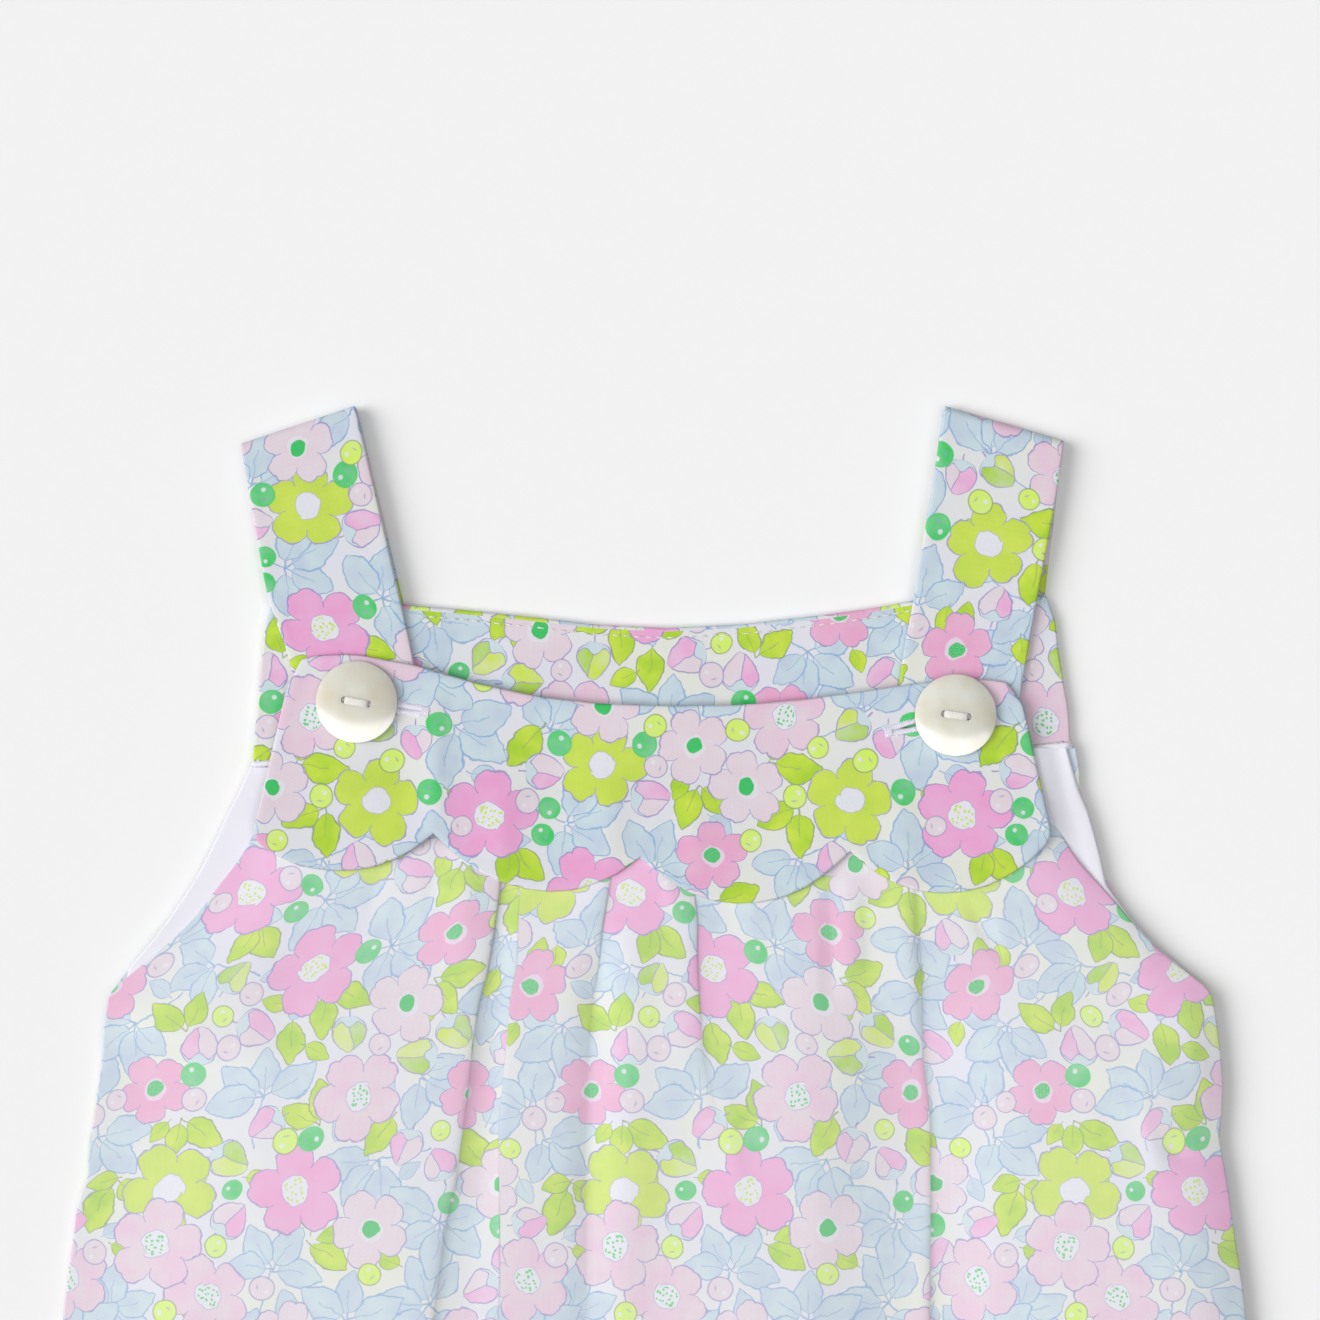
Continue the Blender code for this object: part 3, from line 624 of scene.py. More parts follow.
def paint_blossom(tree, x, y, kind, wash, below):
    """A five-petalled blossom; its kind gives the petals' colour and its heart."""
    radius = (x * x + y * y).root()
    turn = y.math("ARCTAN2", x) / math.tau * 5.0
    across = (turn.fraction() - 0.5).absolute() * 2.0
    uneven = (turn.floor() * 2.4 + kind * 1.9).sin() * 0.7
    dent = (1.0 - across) ** 7.0 * (uneven + 0.9) * 0.55
    rim = 9.6 - 3.3 * across ** 2.8 + uneven * (1.0 - across) - dent - radius
    number = kind.floor()
    petals = chosen(tree, number, (PINK, PALE_PINK, LIME, PINK, PALE_PINK))
    fill = mixed(tree, wash * 0.4, petals, chosen(tree, number, (ROSE, PINK, LIME_LEAF, ROSE, WHITE)))
    colour = mixed(tree, rim.inside(), below, fill)
    cleft = ((1.0 - across) * radius).line(0.2) * radius.above(5.2) * rim.above(0.0)
    heart = 2.9 + ((turn * 1.6).sin() * 0.35) - radius
    has_eye = number.above(2.5)
    eye = 2.2 - ((x + 0.3) ** 2.0 + (y * 1.12) ** 2.0).root()
    colour = mixed(tree, heart.inside(0.12) * (1.0 - has_eye * 0.35), colour, WHITE)
    place = add_node(tree, "CombineXYZ", {0: x, 1: y}).outputs[0]
    specks = add_node(tree, "TexVoronoi", {"Scale": 0.95, "Vector": place}, voronoi_dimensions="2D")
    speck = (0.27 - Value(tree, specks.outputs["Distance"])).inside(0.08)
    dots = speck * (heart - 0.45).inside() * (1.0 - has_eye)
    specked = chosen(tree, number, (LIME, GREEN, WHITE, WHITE, WHITE))
    colour = mixed(tree, dots * number.below(1.5) * 0.9, colour, specked)
    colour = mixed(tree, eye.inside() * has_eye, colour, GREEN_EYE)
    drawn = rim.line(0.18).largest(cleft * 0.8).largest(heart.line(0.1) * (1.0 - has_eye) * 0.6)
    return mixed(tree, drawn * 0.85, colour, VIOLET_LINE)


def paint_berry(tree, x, y, kind, wash, below):
    """A round berry with a glint and a small tick."""
    rim = 2.75 - (x * x + (y * 0.94) ** 2.0).root()
    berry = chosen(tree, kind, (GREEN, LIME_BERRY, PALE_PINK))
    line = chosen(tree, kind, (GREEN, OLIVE_LINE, VIOLET_LINE))
    colour = mixed(tree, rim.inside(), below, mixed(tree, wash * 0.2, berry, WHITE))
    glint = 0.55 - ((x - 0.9) ** 2.0 + (y - 0.9) ** 2.0).root()
    colour = mixed(tree, glint.inside(0.15) * 0.85, colour, WHITE)
    tick = 0.42 - ((x + 0.3).absolute() * 0.45 + (y + 1.1).absolute() * 1.5)
    colour = mixed(tree, tick.inside(0.1) * 0.55, colour, VIOLET_LINE)
    return mixed(tree, rim.line(0.16) * 0.75, colour, line)


MOTIF_GROUPS = {
    family: motif_group(f"print {family}", paint, FAMILIES[family]["wander"])
    for family, paint in zip(FAMILIES, (paint_leaf, paint_bud, paint_blossom, paint_berry))
}
WEAVE_PITCH = 0.42
CLOTH_SHINE = {"Specular IOR Level": 0.25, "Sheen Weight": 0.08}


def new_material(name, settings):
    """A material with plain numbers on its shader, its tree and the shader."""
    made = bpy.data.materials.new(name)
    made.use_nodes = True
    tree, shader = made.node_tree, made.node_tree.nodes["Principled BSDF"]
    for socket, value in settings.items():
        shader.inputs[socket].default_value = value
    return made, tree, shader


def add_bump(tree, shader, height, strength, depth):
    """Relief of a shader's surface, up to a depth in millimetres."""
    bump = add_node(tree, "Bump", {"Height": height, "Strength": strength, "Distance": depth * MM})
    feed(tree, shader.inputs["Normal"], bump.outputs[0])


def add_weave(tree, shader, place, strength):
    """Relief of a plain weave with a fine nap over the cloth's flat coordinates."""
    apart = add_node(tree, "SeparateXYZ", {0: place})
    warp, weft = (Value(tree, apart.outputs[axis]) * (math.tau / WEAVE_PITCH) for axis in (0, 1))
    nap = noise(tree, place, 2.2, 3.0)
    add_bump(tree, shader, warp.sin() * weft.sin() * 0.5 + nap * 1.3, strength, 0.05)


def floral_cotton(name, strength):
    """Printed cotton lawn. A strength below 1 mixes the print towards a pale colour, a painted sheen over the
    whole piece.
    """
    made, tree, shader = new_material(name, {**CLOTH_SHINE, "Roughness": 0.78, "Sheen Roughness": 0.5})
    place = attribute(tree, "flat")
    tint = noise(tree, place, 0.035, 2.0)
    colour = mixed(tree, ((tint - 0.38) * 4.0).clamped(), LAVENDER, CREAM)
    wash = ((noise(tree, place, 0.16, 2.0) - 0.35) * 3.0).clamped()
    shake = {0: noise(tree, place, 0.33, 2.0, output=1), 1: (1.7, 1.7, 0.0), 2: (-0.85, -0.85, 0.0)}
    wobble = add_node(tree, "VectorMath", shake, operation="MULTIPLY_ADD").outputs[0]
    for family, facts in FAMILIES.items():
        for slot in range(facts["slots"]):
            painted = tree.nodes.new("ShaderNodeGroup")
            painted.node_tree = MOTIF_GROUPS[family]
            spot = attribute(tree, f"{family}_{slot}")
            for socket, value in (("Place", spot), ("Wobble", wobble), ("Wash", wash), ("Below", colour)):
                feed(tree, painted.inputs[socket], value)
            colour = painted.outputs["Colour"]
    # Painted sheen: the print is mixed towards a pale colour by one minus the strength.
    feed(tree, shader.inputs["Base Color"], mixed(tree, strength, PAINTED_SHEEN, colour))
    add_weave(tree, shader, place, 0.25)
    return made


def plain_cloth(name, colour, other, roughness):
    """Unprinted cloth with a faint change of tint."""
    made, tree, shader = new_material(name, {**CLOTH_SHINE, "Roughness": roughness})
    place = attribute(tree, "flat")
    tint = ((noise(tree, place, 0.05, 3.0) - 0.35) * 3.0).clamped()
    feed(tree, shader.inputs["Base Color"], mixed(tree, tint, colour, other))
    add_weave(tree, shader, place, 0.3)
    return made


def thread_material(name, colour, other):
    """Twisted cotton thread, striped across its own direction by a fine wave."""
    made, tree, shader = new_material(name, {"Roughness": 0.55, "Sheen Weight": 0.2})
    place = add_node(tree, "TexCoord", {}).outputs["Object"]
    wave = add_node(tree, "TexWave", {"Scale": 900.0, "Distortion": 1.5, "Vector": place},
                    bands_direction="DIAGONAL")
    feed(tree, shader.inputs["Base Color"], mixed(tree, wave.outputs["Color"], colour, other))
    add_bump(tree, shader, wave.outputs[1], 0.5, 0.06)
    return made


def shell_material(name):
    """Pale polished shell with soft clouds of warm and cool tint."""
    made, tree, shader = new_material(name, {
        "Roughness": 0.3, "Coat Weight": 0.7, "Coat Roughness": 0.2,
        "Subsurface Weight": 0.7, "Subsurface Radius": (1.0, 0.95, 0.85), "Subsurface Scale": 3.0 * MM,
    })
    place = add_node(tree, "TexCoord", {}).outputs["Object"]
    cloud = noise(tree, place, 150.0, 3.0)
    layers = add_node(tree, "TexWave", {"Scale": 55.0, "Distortion": 7.0, "Detail": 3.0, "Vector": place})
    warm = mixed(tree, ((cloud - 0.35) * 3.0).clamped(), rgb("cfc9b8"), rgb("d8d9d0"))
    streaks = Value(tree, layers.outputs[1]) * 0.3
    feed(tree, shader.inputs["Base Color"], mixed(tree, streaks, warm, rgb("dad9d0")))
    add_bump(tree, shader, layers.outputs[1], 0.12, 0.1)
    return made


# The panel's print is lightened by a painted sheen with a share of 0.14; the print of the bib and straps has
# none.
PANEL_PRINT = floral_cotton("floral cotton, panel", 0.86)
BIB_PRINT = floral_cotton("floral cotton, bib and straps", 1.0)
LINING = plain_cloth("white lining", rgb("dfdde6"), rgb("dadae2"), 0.8)
BUTTONHOLE_THREAD = thread_material("buttonhole thread", rgb("dad8e4"), rgb("d0cddc"))
SEWING_THREAD = thread_material("sewing thread", rgb("dedbd6"), rgb("d2cec8"))
SHELL = shell_material("shell button")


# --------------------------------------------------------------------------------------------------
# Meshes.
def add_object(name, data):
    """A new object in the scene."""
    made = bpy.data.objects.new(name, data)
    bpy.context.collection.objects.link(made)
    return made


def mesh_of(name, bm):
    """A mesh from a bmesh, which ends with it."""
    mesh = bpy.data.meshes.new(name)
    bm.to_mesh(mesh)
    bm.free()
    return mesh


def link_mesh(name, vertices, faces, material):
    """A smooth mesh object from points in millimetres and a list of faces."""
    mesh = bpy.data.meshes.new(name)
    mesh.from_pydata((np.asarray(vertices) * MM).tolist(), [], faces)
    mesh.materials.append(material)
    mesh.shade_smooth()
    return add_object(name, mesh)


def set_corners(mesh, name, values):
    """Give every corner of a mesh three numbers under a name."""
    mesh.attributes.new(name, "FLOAT_VECTOR", "CORNER").data.foreach_set("vector", values.ravel())


def print_on(mesh, flat, faces):
    """Give a mesh its flat coordinates and, for each family of the print, the places of its motifs."""
    corners = flat[faces]
    values = np.zeros((*corners.shape[:2], 3), np.float32)
    values[..., :2] = corners
    set_corners(mesh, "flat", values)
    if mesh.materials[0] in (PANEL_PRINT, BIB_PRINT):
        for name, place in print_places(flat, faces).items():
            set_corners(mesh, name, place)


def cloth_shell(name, plan, top, under, quads, flat, material):
    """A closed shell between two heights over one plan, with the cloth's flat coordinates at each point.

    The print runs on over the edge and down its side.
    """
    count = len(plan)
    upper, lower = np.column_stack((plan, top)), np.column_stack((plan, under))
    edges = np.concatenate([quads[:, (k, (k + 1) % 4)] for k in range(4)])
    keys = edges[:, 0].astype(np.int64) * count + edges[:, 1]
    back = edges[:, 1].astype(np.int64) * count + edges[:, 0]
    rim = edges[~np.isin(keys, back)]
    sides = np.column_stack((rim + count, rim[:, ::-1]))
    faces = np.concatenate((quads, quads[:, ::-1] + count, sides))
    made = link_mesh(name, np.concatenate((upper, lower)), faces.tolist(), material)
    diagonals = flat[quads[:, 2:]] - flat[quads[:, :2]]
    turn = np.sign(np.sum(diagonals[:, 0, 0] * diagonals[:, 1, 1] - diagonals[:, 0, 1] * diagonals[:, 1, 0]))
    run = flat[rim[:, 1]] - flat[rim[:, 0]]
    length = np.maximum(np.linalg.norm(run, axis=1), 1e-6)[:, None]
    outward = turn * np.column_stack((run[:, 1], -run[:, 0])) / length
    wrapped = flat[rim] + outward[:, None, :] * (upper[rim, 2] - lower[rim, 2])[..., None]
    numbers = 2 * count + np.arange(2 * len(rim)).reshape(-1, 2)
    print_faces = np.concatenate((faces[:-len(sides)], np.column_stack((numbers, sides[:, 2:]))))
    print_on(made.data, np.concatenate((flat, flat, wrapped.reshape(-1, 2))), print_faces)
    return made


def grid_quads(rows, columns, skip=()):
    """Quads of a grid whose rows run downwards and columns to the right, numbered row by row."""
    row, column = np.meshgrid(np.arange(rows - 1), np.arange(columns - 1), indexing="ij")
    keep = ~np.isin(column, skip)
    row, column = row[keep], column[keep]
    corner = row * columns + column
    return np.column_stack((corner + columns, corner + columns + 1, corner + 1, corner))


def spread_levels(top, bottom, step):
    """Levels from the top down, about a step apart, without the last one."""
    count = max(1, round((top - bottom) / step))
    return list(np.linspace(top, bottom, count, endpoint=False))


# Where the flat coordinates of each piece but the front panel start.
PRINT_START = {
    "front_yoke": (31.0, -17.0),
    "back_panel": (47.0, 63.0),
    "back_lining": (0.0, 0.0),
    "back_yoke": (12.0, 40.0),
    "strap_left": (20.0, 80.0),
    "strap_right": (74.0, 80.0),
}


def finish_cloth(made, node):
    """Hand a sheet of cloth to the frame, in place of its CAD node."""
    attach(made, BODY)
    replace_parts(made, node)


class Outline:
    """Side edges of a panel with two legs, read from its CAD solid and softened a little."""

    def __init__(self, node):
        self.loop = plan_loops(node)[0]
        self.top, self.bottom = self.loop[:, 1].max(), self.loop[:, 1].min()

    def at(self, y):
        """Left and right edge, and half the gap between the legs, at one level."""
        found = []
        for level in (y - 1.5, y, y + 1.5):
            cut = crossings(self.loop, min(max(level, self.bottom + 0.01), self.top - 0.01))
            gap = (cut[2] - cut[1]) / 2 if len(cut) > 3 else 0.0
            found.append((cut[0], cut[-1], gap if y < CROTCH_Y else 0.0))
        return np.mean(found, axis=0)


def panel_columns(intervals):
    """How each grid line lies between two guide lines: (guide, offset, next guide, share, interval)."""
    columns = []
    for number, (left_steps, count, right_steps) in enumerate(intervals):
        columns += [(number, step, number, 0.0, number) for step in left_steps]
        near, far = left_steps[-1] if left_steps else 0.0, right_steps[-1] if right_steps else 0.0
        for place in range(1, count):
            share = place / count
            columns.append((number, near * (1.0 - share) - far * share, number + 1, share, number))
        columns += [(number + 1, -step, number + 1, 0.0, number) for step in reversed(right_steps)]
    return np.array(columns)


def panel_grid(outline, levels, guides, centre_guide, intervals):
    """Plan points of a two-legged panel: rows of levels, columns on guide lines, split below the crotch.

    Each guide gives the x of one inner line at a level. The legs part at the centre guide.
    """
    centre = centre_guide + 1
    first, offset, second, share, interval = panel_columns(intervals).T
    rows = []
    for level in levels:
        left, right, gap = outline.at(level)
        lines = np.array([left, *(float(guide(level)) for guide in guides), right])
        x = (lines[first.astype(int)] * (1.0 - share) + lines[second.astype(int)] * share) + offset
        side = np.where(interval >= centre, 1.0, -1.0)
        edge = np.where(side < 0.0, left, right)
        rows.append(side * gap + x * (1.0 - side * gap / edge))
    x = np.array(rows)
    y = np.repeat(np.array(levels)[:, None], x.shape[1], axis=1)
    split = int(np.where(interval == centre)[0][0]) - 1
    quads = grid_quads(len(levels), x.shape[1], skip=(split,))
    merged = np.arange(x.size).reshape(x.shape)
    merged[np.array(levels) >= CROTCH_Y, split + 1] = merged[np.array(levels) >= CROTCH_Y, split]
    return x, y, merged.ravel()[quads], interval.astype(int)


def folds_height(folds, x, y):
    """Height of a table of soft folds at each point."""
    height = np.zeros_like(x)
    for _, top_x, top_y, low_x, low_y, left_width, right_width, lift in folds:
        along = np.clip((top_y - y) / (top_y - low_y), -0.2, 1.2)
        away = x - top_x - (low_x - top_x) * along
        fade = min(0.5, 12.0 / (top_y - low_y))
        strength = ease((along + 0.02) / fade) * ease((1.02 - along) / max(fade, 0.35))
        height += lift * strength * np.exp(-(away / np.where(away < 0.0, left_width, right_width)) ** 2)
    return height


# --------------------------------------------------------------------------------------------------
# Front panel.
FRONT = Outline("front_panel")
BACK = Outline("back_panel")
BIB_LOOP = plan_loops("front_yoke")[0]


def chest_height(y):
    """Height of the front panel away from its edges and folds."""
    return HEM_HEIGHT + (CHEST_HEIGHT - HEM_HEIGHT) * ease((y - HEM_Y) / (CROTCH_Y - HEM_Y))


def pleats_height(x, y):
    """Steps of the pleats: the left layer rises to its fold and rolls over, the right one runs in below."""
    height = np.zeros_like(x)
    for pleat in PLEATS.values():
        step = by_level(pleat["step"], y)
        roll_share, roll, run_share, run = (by_level(pleat["soft"], y, column) for column in (1, 2, 3, 4))
        left = by_level(pleat["line"], y) - x
        before, beyond = np.maximum(left, 0.0), np.maximum(-left, 0.0)
        rolled = np.exp(-before / pleat["spread"]) - roll_share * np.exp(-before / roll)
        lip = (1.0 - roll_share - run_share) * rounded_edge(before, 0.4, 0.4)
        height += step * np.where(left >= -0.01, rolled - lip, run_share * np.exp(-beyond / run))
    return height


def waved(x, y):
    """The x of points of a panel once its side seams run unevenly."""
    left, right = by_level(SIDE_WAVES["left"], y), by_level(SIDE_WAVES["right"], y)
    return x - left * ease((-x - SIDE_START) / SIDE_FADE) + right * ease((x - SIDE_START) / SIDE_FADE)


# Height of the front's edge, and how far in from it the cloth has risen: at the left seam, how much more at
# the right one, and the same two over the lining.
FRONT_EDGE = (1.55, 2.25, 3.1, 0.8)
FRONT_REACH = (44.0, -28.0, 16.0, -5.0)


def front_height(x, y):
    """Upper face of the front panel: low at the left side seam, clear of the back at the right one."""
    distance = distance_to(FRONT.loop, x, y)
    lined, to_right = ease((y - 94.0) / 9.0), ease((x + 40.0) / 80.0)
    edge, reach = ((at_left + more * to_right) * (1.0 - lined) + (lined_left + lined_more * to_right) * lined
                   for at_left, more, lined_left, lined_more in (FRONT_EDGE, FRONT_REACH))
    share = np.clip(distance / reach, 0.0, 1.0)
    crest = chest_height(y) + (1.7 - 1.1 * lined) * ease((x - 66.0) / 40.0) * ease((y - CROTCH_Y) / 60.0)
    rise = edge + (crest - edge) * (ease(share) * (1.0 - to_right) + share * (2.0 - share) * to_right)
    relief = folds_height(SOFT_FOLDS, x, y) + pleats_height(x, y)
    relief += ripples(x, y, 5, 0.3, 46.0) + ripples(x, y, 9, 0.1, 15.0)
    height = rise - rounded_edge(distance, 0.3) + relief * ease(distance / 9.0)
    in_hem = ease((HEM_Y + HEM_DEPTH - y) / 0.8)
    stitched = np.exp(-((y - HEM_SEAM_Y) / 0.7) ** 2)
    return height + in_hem * 0.4 - stitched * 0.3


CENTRE_GUIDE = 3  # the line between the legs comes after the three pleats and tucks of the left half


def front_panel():
    """The front with both legs, pleated under the bib."""
    guides = [(lambda y, table=pleat["line"]: by_level(table, y)) for pleat in PLEATS.values()]
    guides.insert(CENTRE_GUIDE, lambda y: 0.0)
    intervals = (
        (EDGE_STEPS, 50, FOLD_LEFT_STEPS), (FOLD_RIGHT_STEPS, 3, FOLD_LEFT_STEPS[:4]),
        (FOLD_RIGHT_STEPS[:4], 12, FOLD_LEFT_STEPS), (FOLD_RIGHT_STEPS, 5, EDGE_STEPS),
        (EDGE_STEPS, 4, FOLD_LEFT_STEPS), (FOLD_RIGHT_STEPS, 29, FOLD_LEFT_STEPS),
        (FOLD_RIGHT_STEPS, 42, EDGE_STEPS),
    )
    hem = HEM_Y + HEM_DEPTH
    levels = (spread_levels(FRONT.top, VIEW_LOW_Y, 1.5) + spread_levels(VIEW_LOW_Y, hem + 2.0, 3.2)
              + [hem + 2.0, hem + 0.8, hem, hem - 0.7, hem - 1.5, hem - 2.3, hem - 5.0]
              + [HEM_Y + step for step in reversed(EDGE_STEPS)])
    x, y, quads, interval = panel_grid(FRONT, levels, guides, CENTRE_GUIDE, intervals)
    shift = np.zeros_like(x)
    for number, pleat in enumerate(PLEATS.values(), start=1):
        hidden = by_level(pleat["hidden"], y)
        shift += hidden * (interval > number) if number > CENTRE_GUIDE else -hidden * (interval < number)
    top = front_height(x, y)
    covered = inside_loop(BIB_LOOP, x, y, 1.5)
    top = np.where(covered, np.minimum(top, bib_height(x, y) - BIB_WALL - 0.15), top)
    panel_shell("front_panel", waved(x, y), y, top, np.maximum(top - PANEL_WALL, 0.0), quads, x + shift, y)


def hem_stitching():
    """A row of running stitches along the hem of each leg."""
    left, right, gap = FRONT.at(HEM_SEAM_Y)
    for side, ends in (("left", (left + 1.5, -gap - 1.5)), ("right", (gap + 1.5, right - 1.5))):
        x = np.linspace(*ends, 60)
        y = np.full_like(x, HEM_SEAM_Y)
        route = np.column_stack((x, y, front_height(x, y) + 0.08))
        sewn(f"hem_{side}_topstitching", dashes(route, 2.0, 0.8, 0.17))


def panel_shell(node, x, y, top, under, quads, flat_x, flat_y):
    """A panel over those points of a grid that its quads use."""
    used = np.unique(quads)
    renumber = np.full(x.size, -1)
    renumber[used] = np.arange(len(used))
    x, y, top, under, flat_x, flat_y = (part.ravel()[used] for part in (x, y, top, under, flat_x, flat_y))
    plan, flat = np.column_stack((x, y)), np.column_stack((flat_x, flat_y))
    finish_cloth(cloth_shell(f"{node}_cloth", plan, top, under, renumber[quads], flat, PANEL_PRINT), node)


def inside_loop(loop, x, y, margin):
    """Which points lie inside an outline, at least a margin away from it."""
    inside = np.zeros(x.shape, bool)
    for first, second in zip(loop, np.roll(loop, -1, axis=0)):
        spans = (first[1] > y) != (second[1] > y)
        if spans.any():
            cut = first[0] + (y - first[1]) / (second[1] - first[1] + 1e-12) * (second[0] - first[0])
            inside ^= spans & (x < cut)
    near = inside.copy()
    near[inside] = distance_to(loop, x[inside], y[inside]) > margin
    return near


# --------------------------------------------------------------------------------------------------
# Bib.
BIB_FOLDS = (  # as SOFT_FOLDS
    ("ridge below the left buttonhole", -49.6, 182, -47.8, 140, 2.4, 2.6, 0.4),
    ("hollow beside it", -56.5, 172, -56.0, 142, 5.0, 4.0, -0.4),
    ("over the left pleat", -33.5, 160, -35.0, 132, 3.4, 3.0, 0.4),
    ("over the left tuck", -10.5, 162, -10.5, 133, 3.6, 3.4, 0.4),
    ("over the right tuck", 8.0, 160, 8.0, 133, 3.2, 3.2, 0.35),
    ("over the right pleat", 53.0, 160, 54.5, 130, 3.8, 3.0, 0.4),
    ("dip between the folds", 26.0, 177, 24.0, 133, 9.0, 9.0, -0.3),
    ("dip left of the middle", -24.0, 173, -22.0, 133, 6.0, 6.0, -0.3),
    ("strap end, left", -72.0, 178, -70.0, 150, 5.0, 6.0, 0.25),
    ("strap end, right", 68.0, 176, 67.0, 150, 6.0, 5.0, 0.25),
)


def bib_height(x, y):
    """Upper face of the bib, without its soft edge: over the panel below, over the straps above."""
    on_panel = chest_height(np.minimum(y, 150.0)) + 0.35 + BIB_WALL
    share = ease((y - 148.0) / 14.0)
    return (on_panel + (BIB_TOP - on_panel) * share + folds_height(BIB_FOLDS, x, y)
            + ripples(x, y, 12, 0.16, 34.0, stretch=1.4))


def four_corners(loop, low_weight=-1.0):
    """Indices of the points that lie furthest out: low left, low right, top right and top left."""
    directions = ((-1.0, low_weight), (1.0, low_weight), (1.0, 1.0), (-1.0, 1.0))
    return [int(np.argmax(loop[:, 0] * right + loop[:, 1] * up)) for right, up in directions]


def softened(loop, corners, reach):
    """An outline with some of its corners rounded off."""
    spots = []
    for number, spot in enumerate(loop):
        if min(math.dist(spot, corner) for corner in corners) > 1.0:
            spots.append(spot)
            continue
        ends = []
        for other in (loop[number - 1], loop[(number + 1) % len(loop)]):
            ends.append(spot + (other - spot) * min(0.9, reach / math.dist(spot, other)))
        for share in np.linspace(0.0, 1.0, 7):
            spots.append(ends[0] * (1 - share) ** 2 + spot * 2 * share * (1 - share) + ends[1] * share ** 2)
    return np.array(spots)


def side_between(loop, start, end):
    """Points of a counter-clockwise outline from one index to another."""
    count = (end - start) % len(loop) + 1
    return loop[(start + np.arange(count)) % len(loop)]


def read_side(side, share, axis):
    """Points on a side at shares of its reach along one axis, or of its length if the axis is None."""
    if axis is None:
        steps = np.hypot(*np.diff(side, axis=0).T)
        along = np.concatenate(([0.0], np.cumsum(steps)))
    else:
        along = np.abs(side[:, axis] - side[0, axis])
    along = along / along[-1]
    return np.column_stack([np.interp(share, along, side[:, k]) for k in (0, 1)])


def patch(loop, corners, across, up):
    """Points inside an outline with four corners, blended from its four sides (a Coons patch)."""
    low_left, low_right, top_right, top_left = corners
    bottom = read_side(side_between(loop, low_left, low_right), across, 0)
    right = read_side(side_between(loop, low_right, top_right), up, None)
    top = read_side(side_between(loop, top_right, top_left)[::-1], across, 0)
    left = read_side(side_between(loop, top_left, low_left)[::-1], up, None)
    s, t = across[None, :, None], up[:, None, None]
    blend = (1 - t) * bottom[None] + t * top[None] + (1 - s) * left[:, None] + s * right[:, None]
    blend -= ((1 - s) * (1 - t) * bottom[0] + s * (1 - t) * bottom[-1]
              + (1 - s) * t * top[0] + s * t * top[-1])
    return blend[::-1]


def fine_shares(length, step, extra=()):
    """Shares from 0 to 1, fine near both ends, with extra ones between."""
    ends = np.array(EDGE_STEPS) / length
    middle = np.linspace(ends[-1], 1.0 - ends[-1], max(2, round(length / step)))[1:-1]
    extra = [value for value in extra if ends[-1] < value < 1.0 - ends[-1]]
    middle = [value for value in middle if all(abs(value - other) > 0.3 * step / length for other in extra)]
    return np.array(sorted([*ends, *middle, *extra, *(1.0 - ends)]))


def bib():
    """The scalloped bib, buttoned to the straps."""
    loop = softened(BIB_LOOP, ((86.8, 144.7), (-89.3, 144.7)), 3.2)
    corners = four_corners(loop)
    bottom = side_between(loop, corners[0], corners[1])
    width = bottom[-1, 0] - bottom[0, 0]
    before, after = bottom[1:-1] - bottom[:-2], bottom[2:] - bottom[1:-1]
    turn = before[:, 0] * after[:, 1] - before[:, 1] * after[:, 0]
    cusps = [(point[0] - bottom[0, 0]) / width for point in bottom[1:-1][turn < -4.0]]
    fine = [cusp + offset / width for cusp in cusps for offset in (-0.5, 0.0, 0.5)]
    across = fine_shares(width, 0.95, fine)
    up = fine_shares(45.0, 0.95)
    points = patch(loop, corners, across, up)
    x, y = points[..., 0], points[..., 1]
    distance = distance_to(loop, x, y)
    top = bib_height(x, y) - rounded_edge(distance, 0.45, 0.7) + 0.1 * np.exp(-((distance - 1.4) / 0.9) ** 2)
    for button in BUTTONS.values():
        top -= slit_depth(x, y, button)
    under = bib_height(x, y) - BIB_WALL
    flat = points.reshape(-1, 2) + PRINT_START["front_yoke"]
    under = np.minimum(under, top - 0.1)
    made = cloth_shell("front_yoke_cloth", points.reshape(-1, 2), top.ravel(), under.ravel(),
                       grid_quads(*x.shape), flat, BIB_PRINT)
    finish_cloth(made, "front_yoke")


# --------------------------------------------------------------------------------------------------
# Buttons, their threads and buttonholes.
BUTTONS = {  # the slit runs from the button's middle towards the middle of the bib
    "left": {"centre": (-66.1, 174.7), "turn": -9.9, "slit_turn": -8.0, "towards": 1.0, "open": 0.1},
    "right": {"centre": (65.3, 171.8), "turn": -7.4, "slit_turn": 14.0, "towards": -1.0, "open": 0.34},
}
SLIT_LENGTH = 14.1
BUTTONHOLE_START = 2.0
BUTTONHOLE_HALF_WIDTH = 1.35
HOLE_SPREAD = 5.1
HOLE_RADIUS = 0.78
BUTTON_SIDES = 96


def slit_axes(button):
    """Unit vectors along a slit, away from the button, and across it."""
    angle = math.radians(button["slit_turn"])
    along = np.array((math.cos(angle), math.sin(angle))) * button["towards"]
    return along, np.array((-along[1], along[0]))


def slit_half_width(along, button):
    """A buttonhole's slit is pulled open near its button and closed at its tip."""
    return 0.03 + button["open"] * ease((SLIT_LENGTH - 0.6 - along) / 3.5)


def slit_depth(x, y, button):
    """How far the bib dips into a buttonhole's slit."""
    along, across = slit_axes(button)
    dx, dy = x - button["centre"][0], y - button["centre"][1]
    a, b = dx * along[0] + dy * along[1], dx * across[0] + dy * across[1]
    wide = slit_half_width(a, button) + 0.12
    return 1.25 * np.exp(-(b / wide) ** 2) * ease((SLIT_LENGTH - a) / 1.4) * ease((a + 4.0) / 2.0)


def ring_faces(rings, sides):
    """Faces that join closed rings of points, numbered ring by ring."""
    faces = []
    for start in range(0, (rings - 1) * sides, sides):
        for k in range(sides):
            a, b = start + k, start + (k + 1) % sides
            faces.append((a, b, b + sides, a + sides))
    return faces


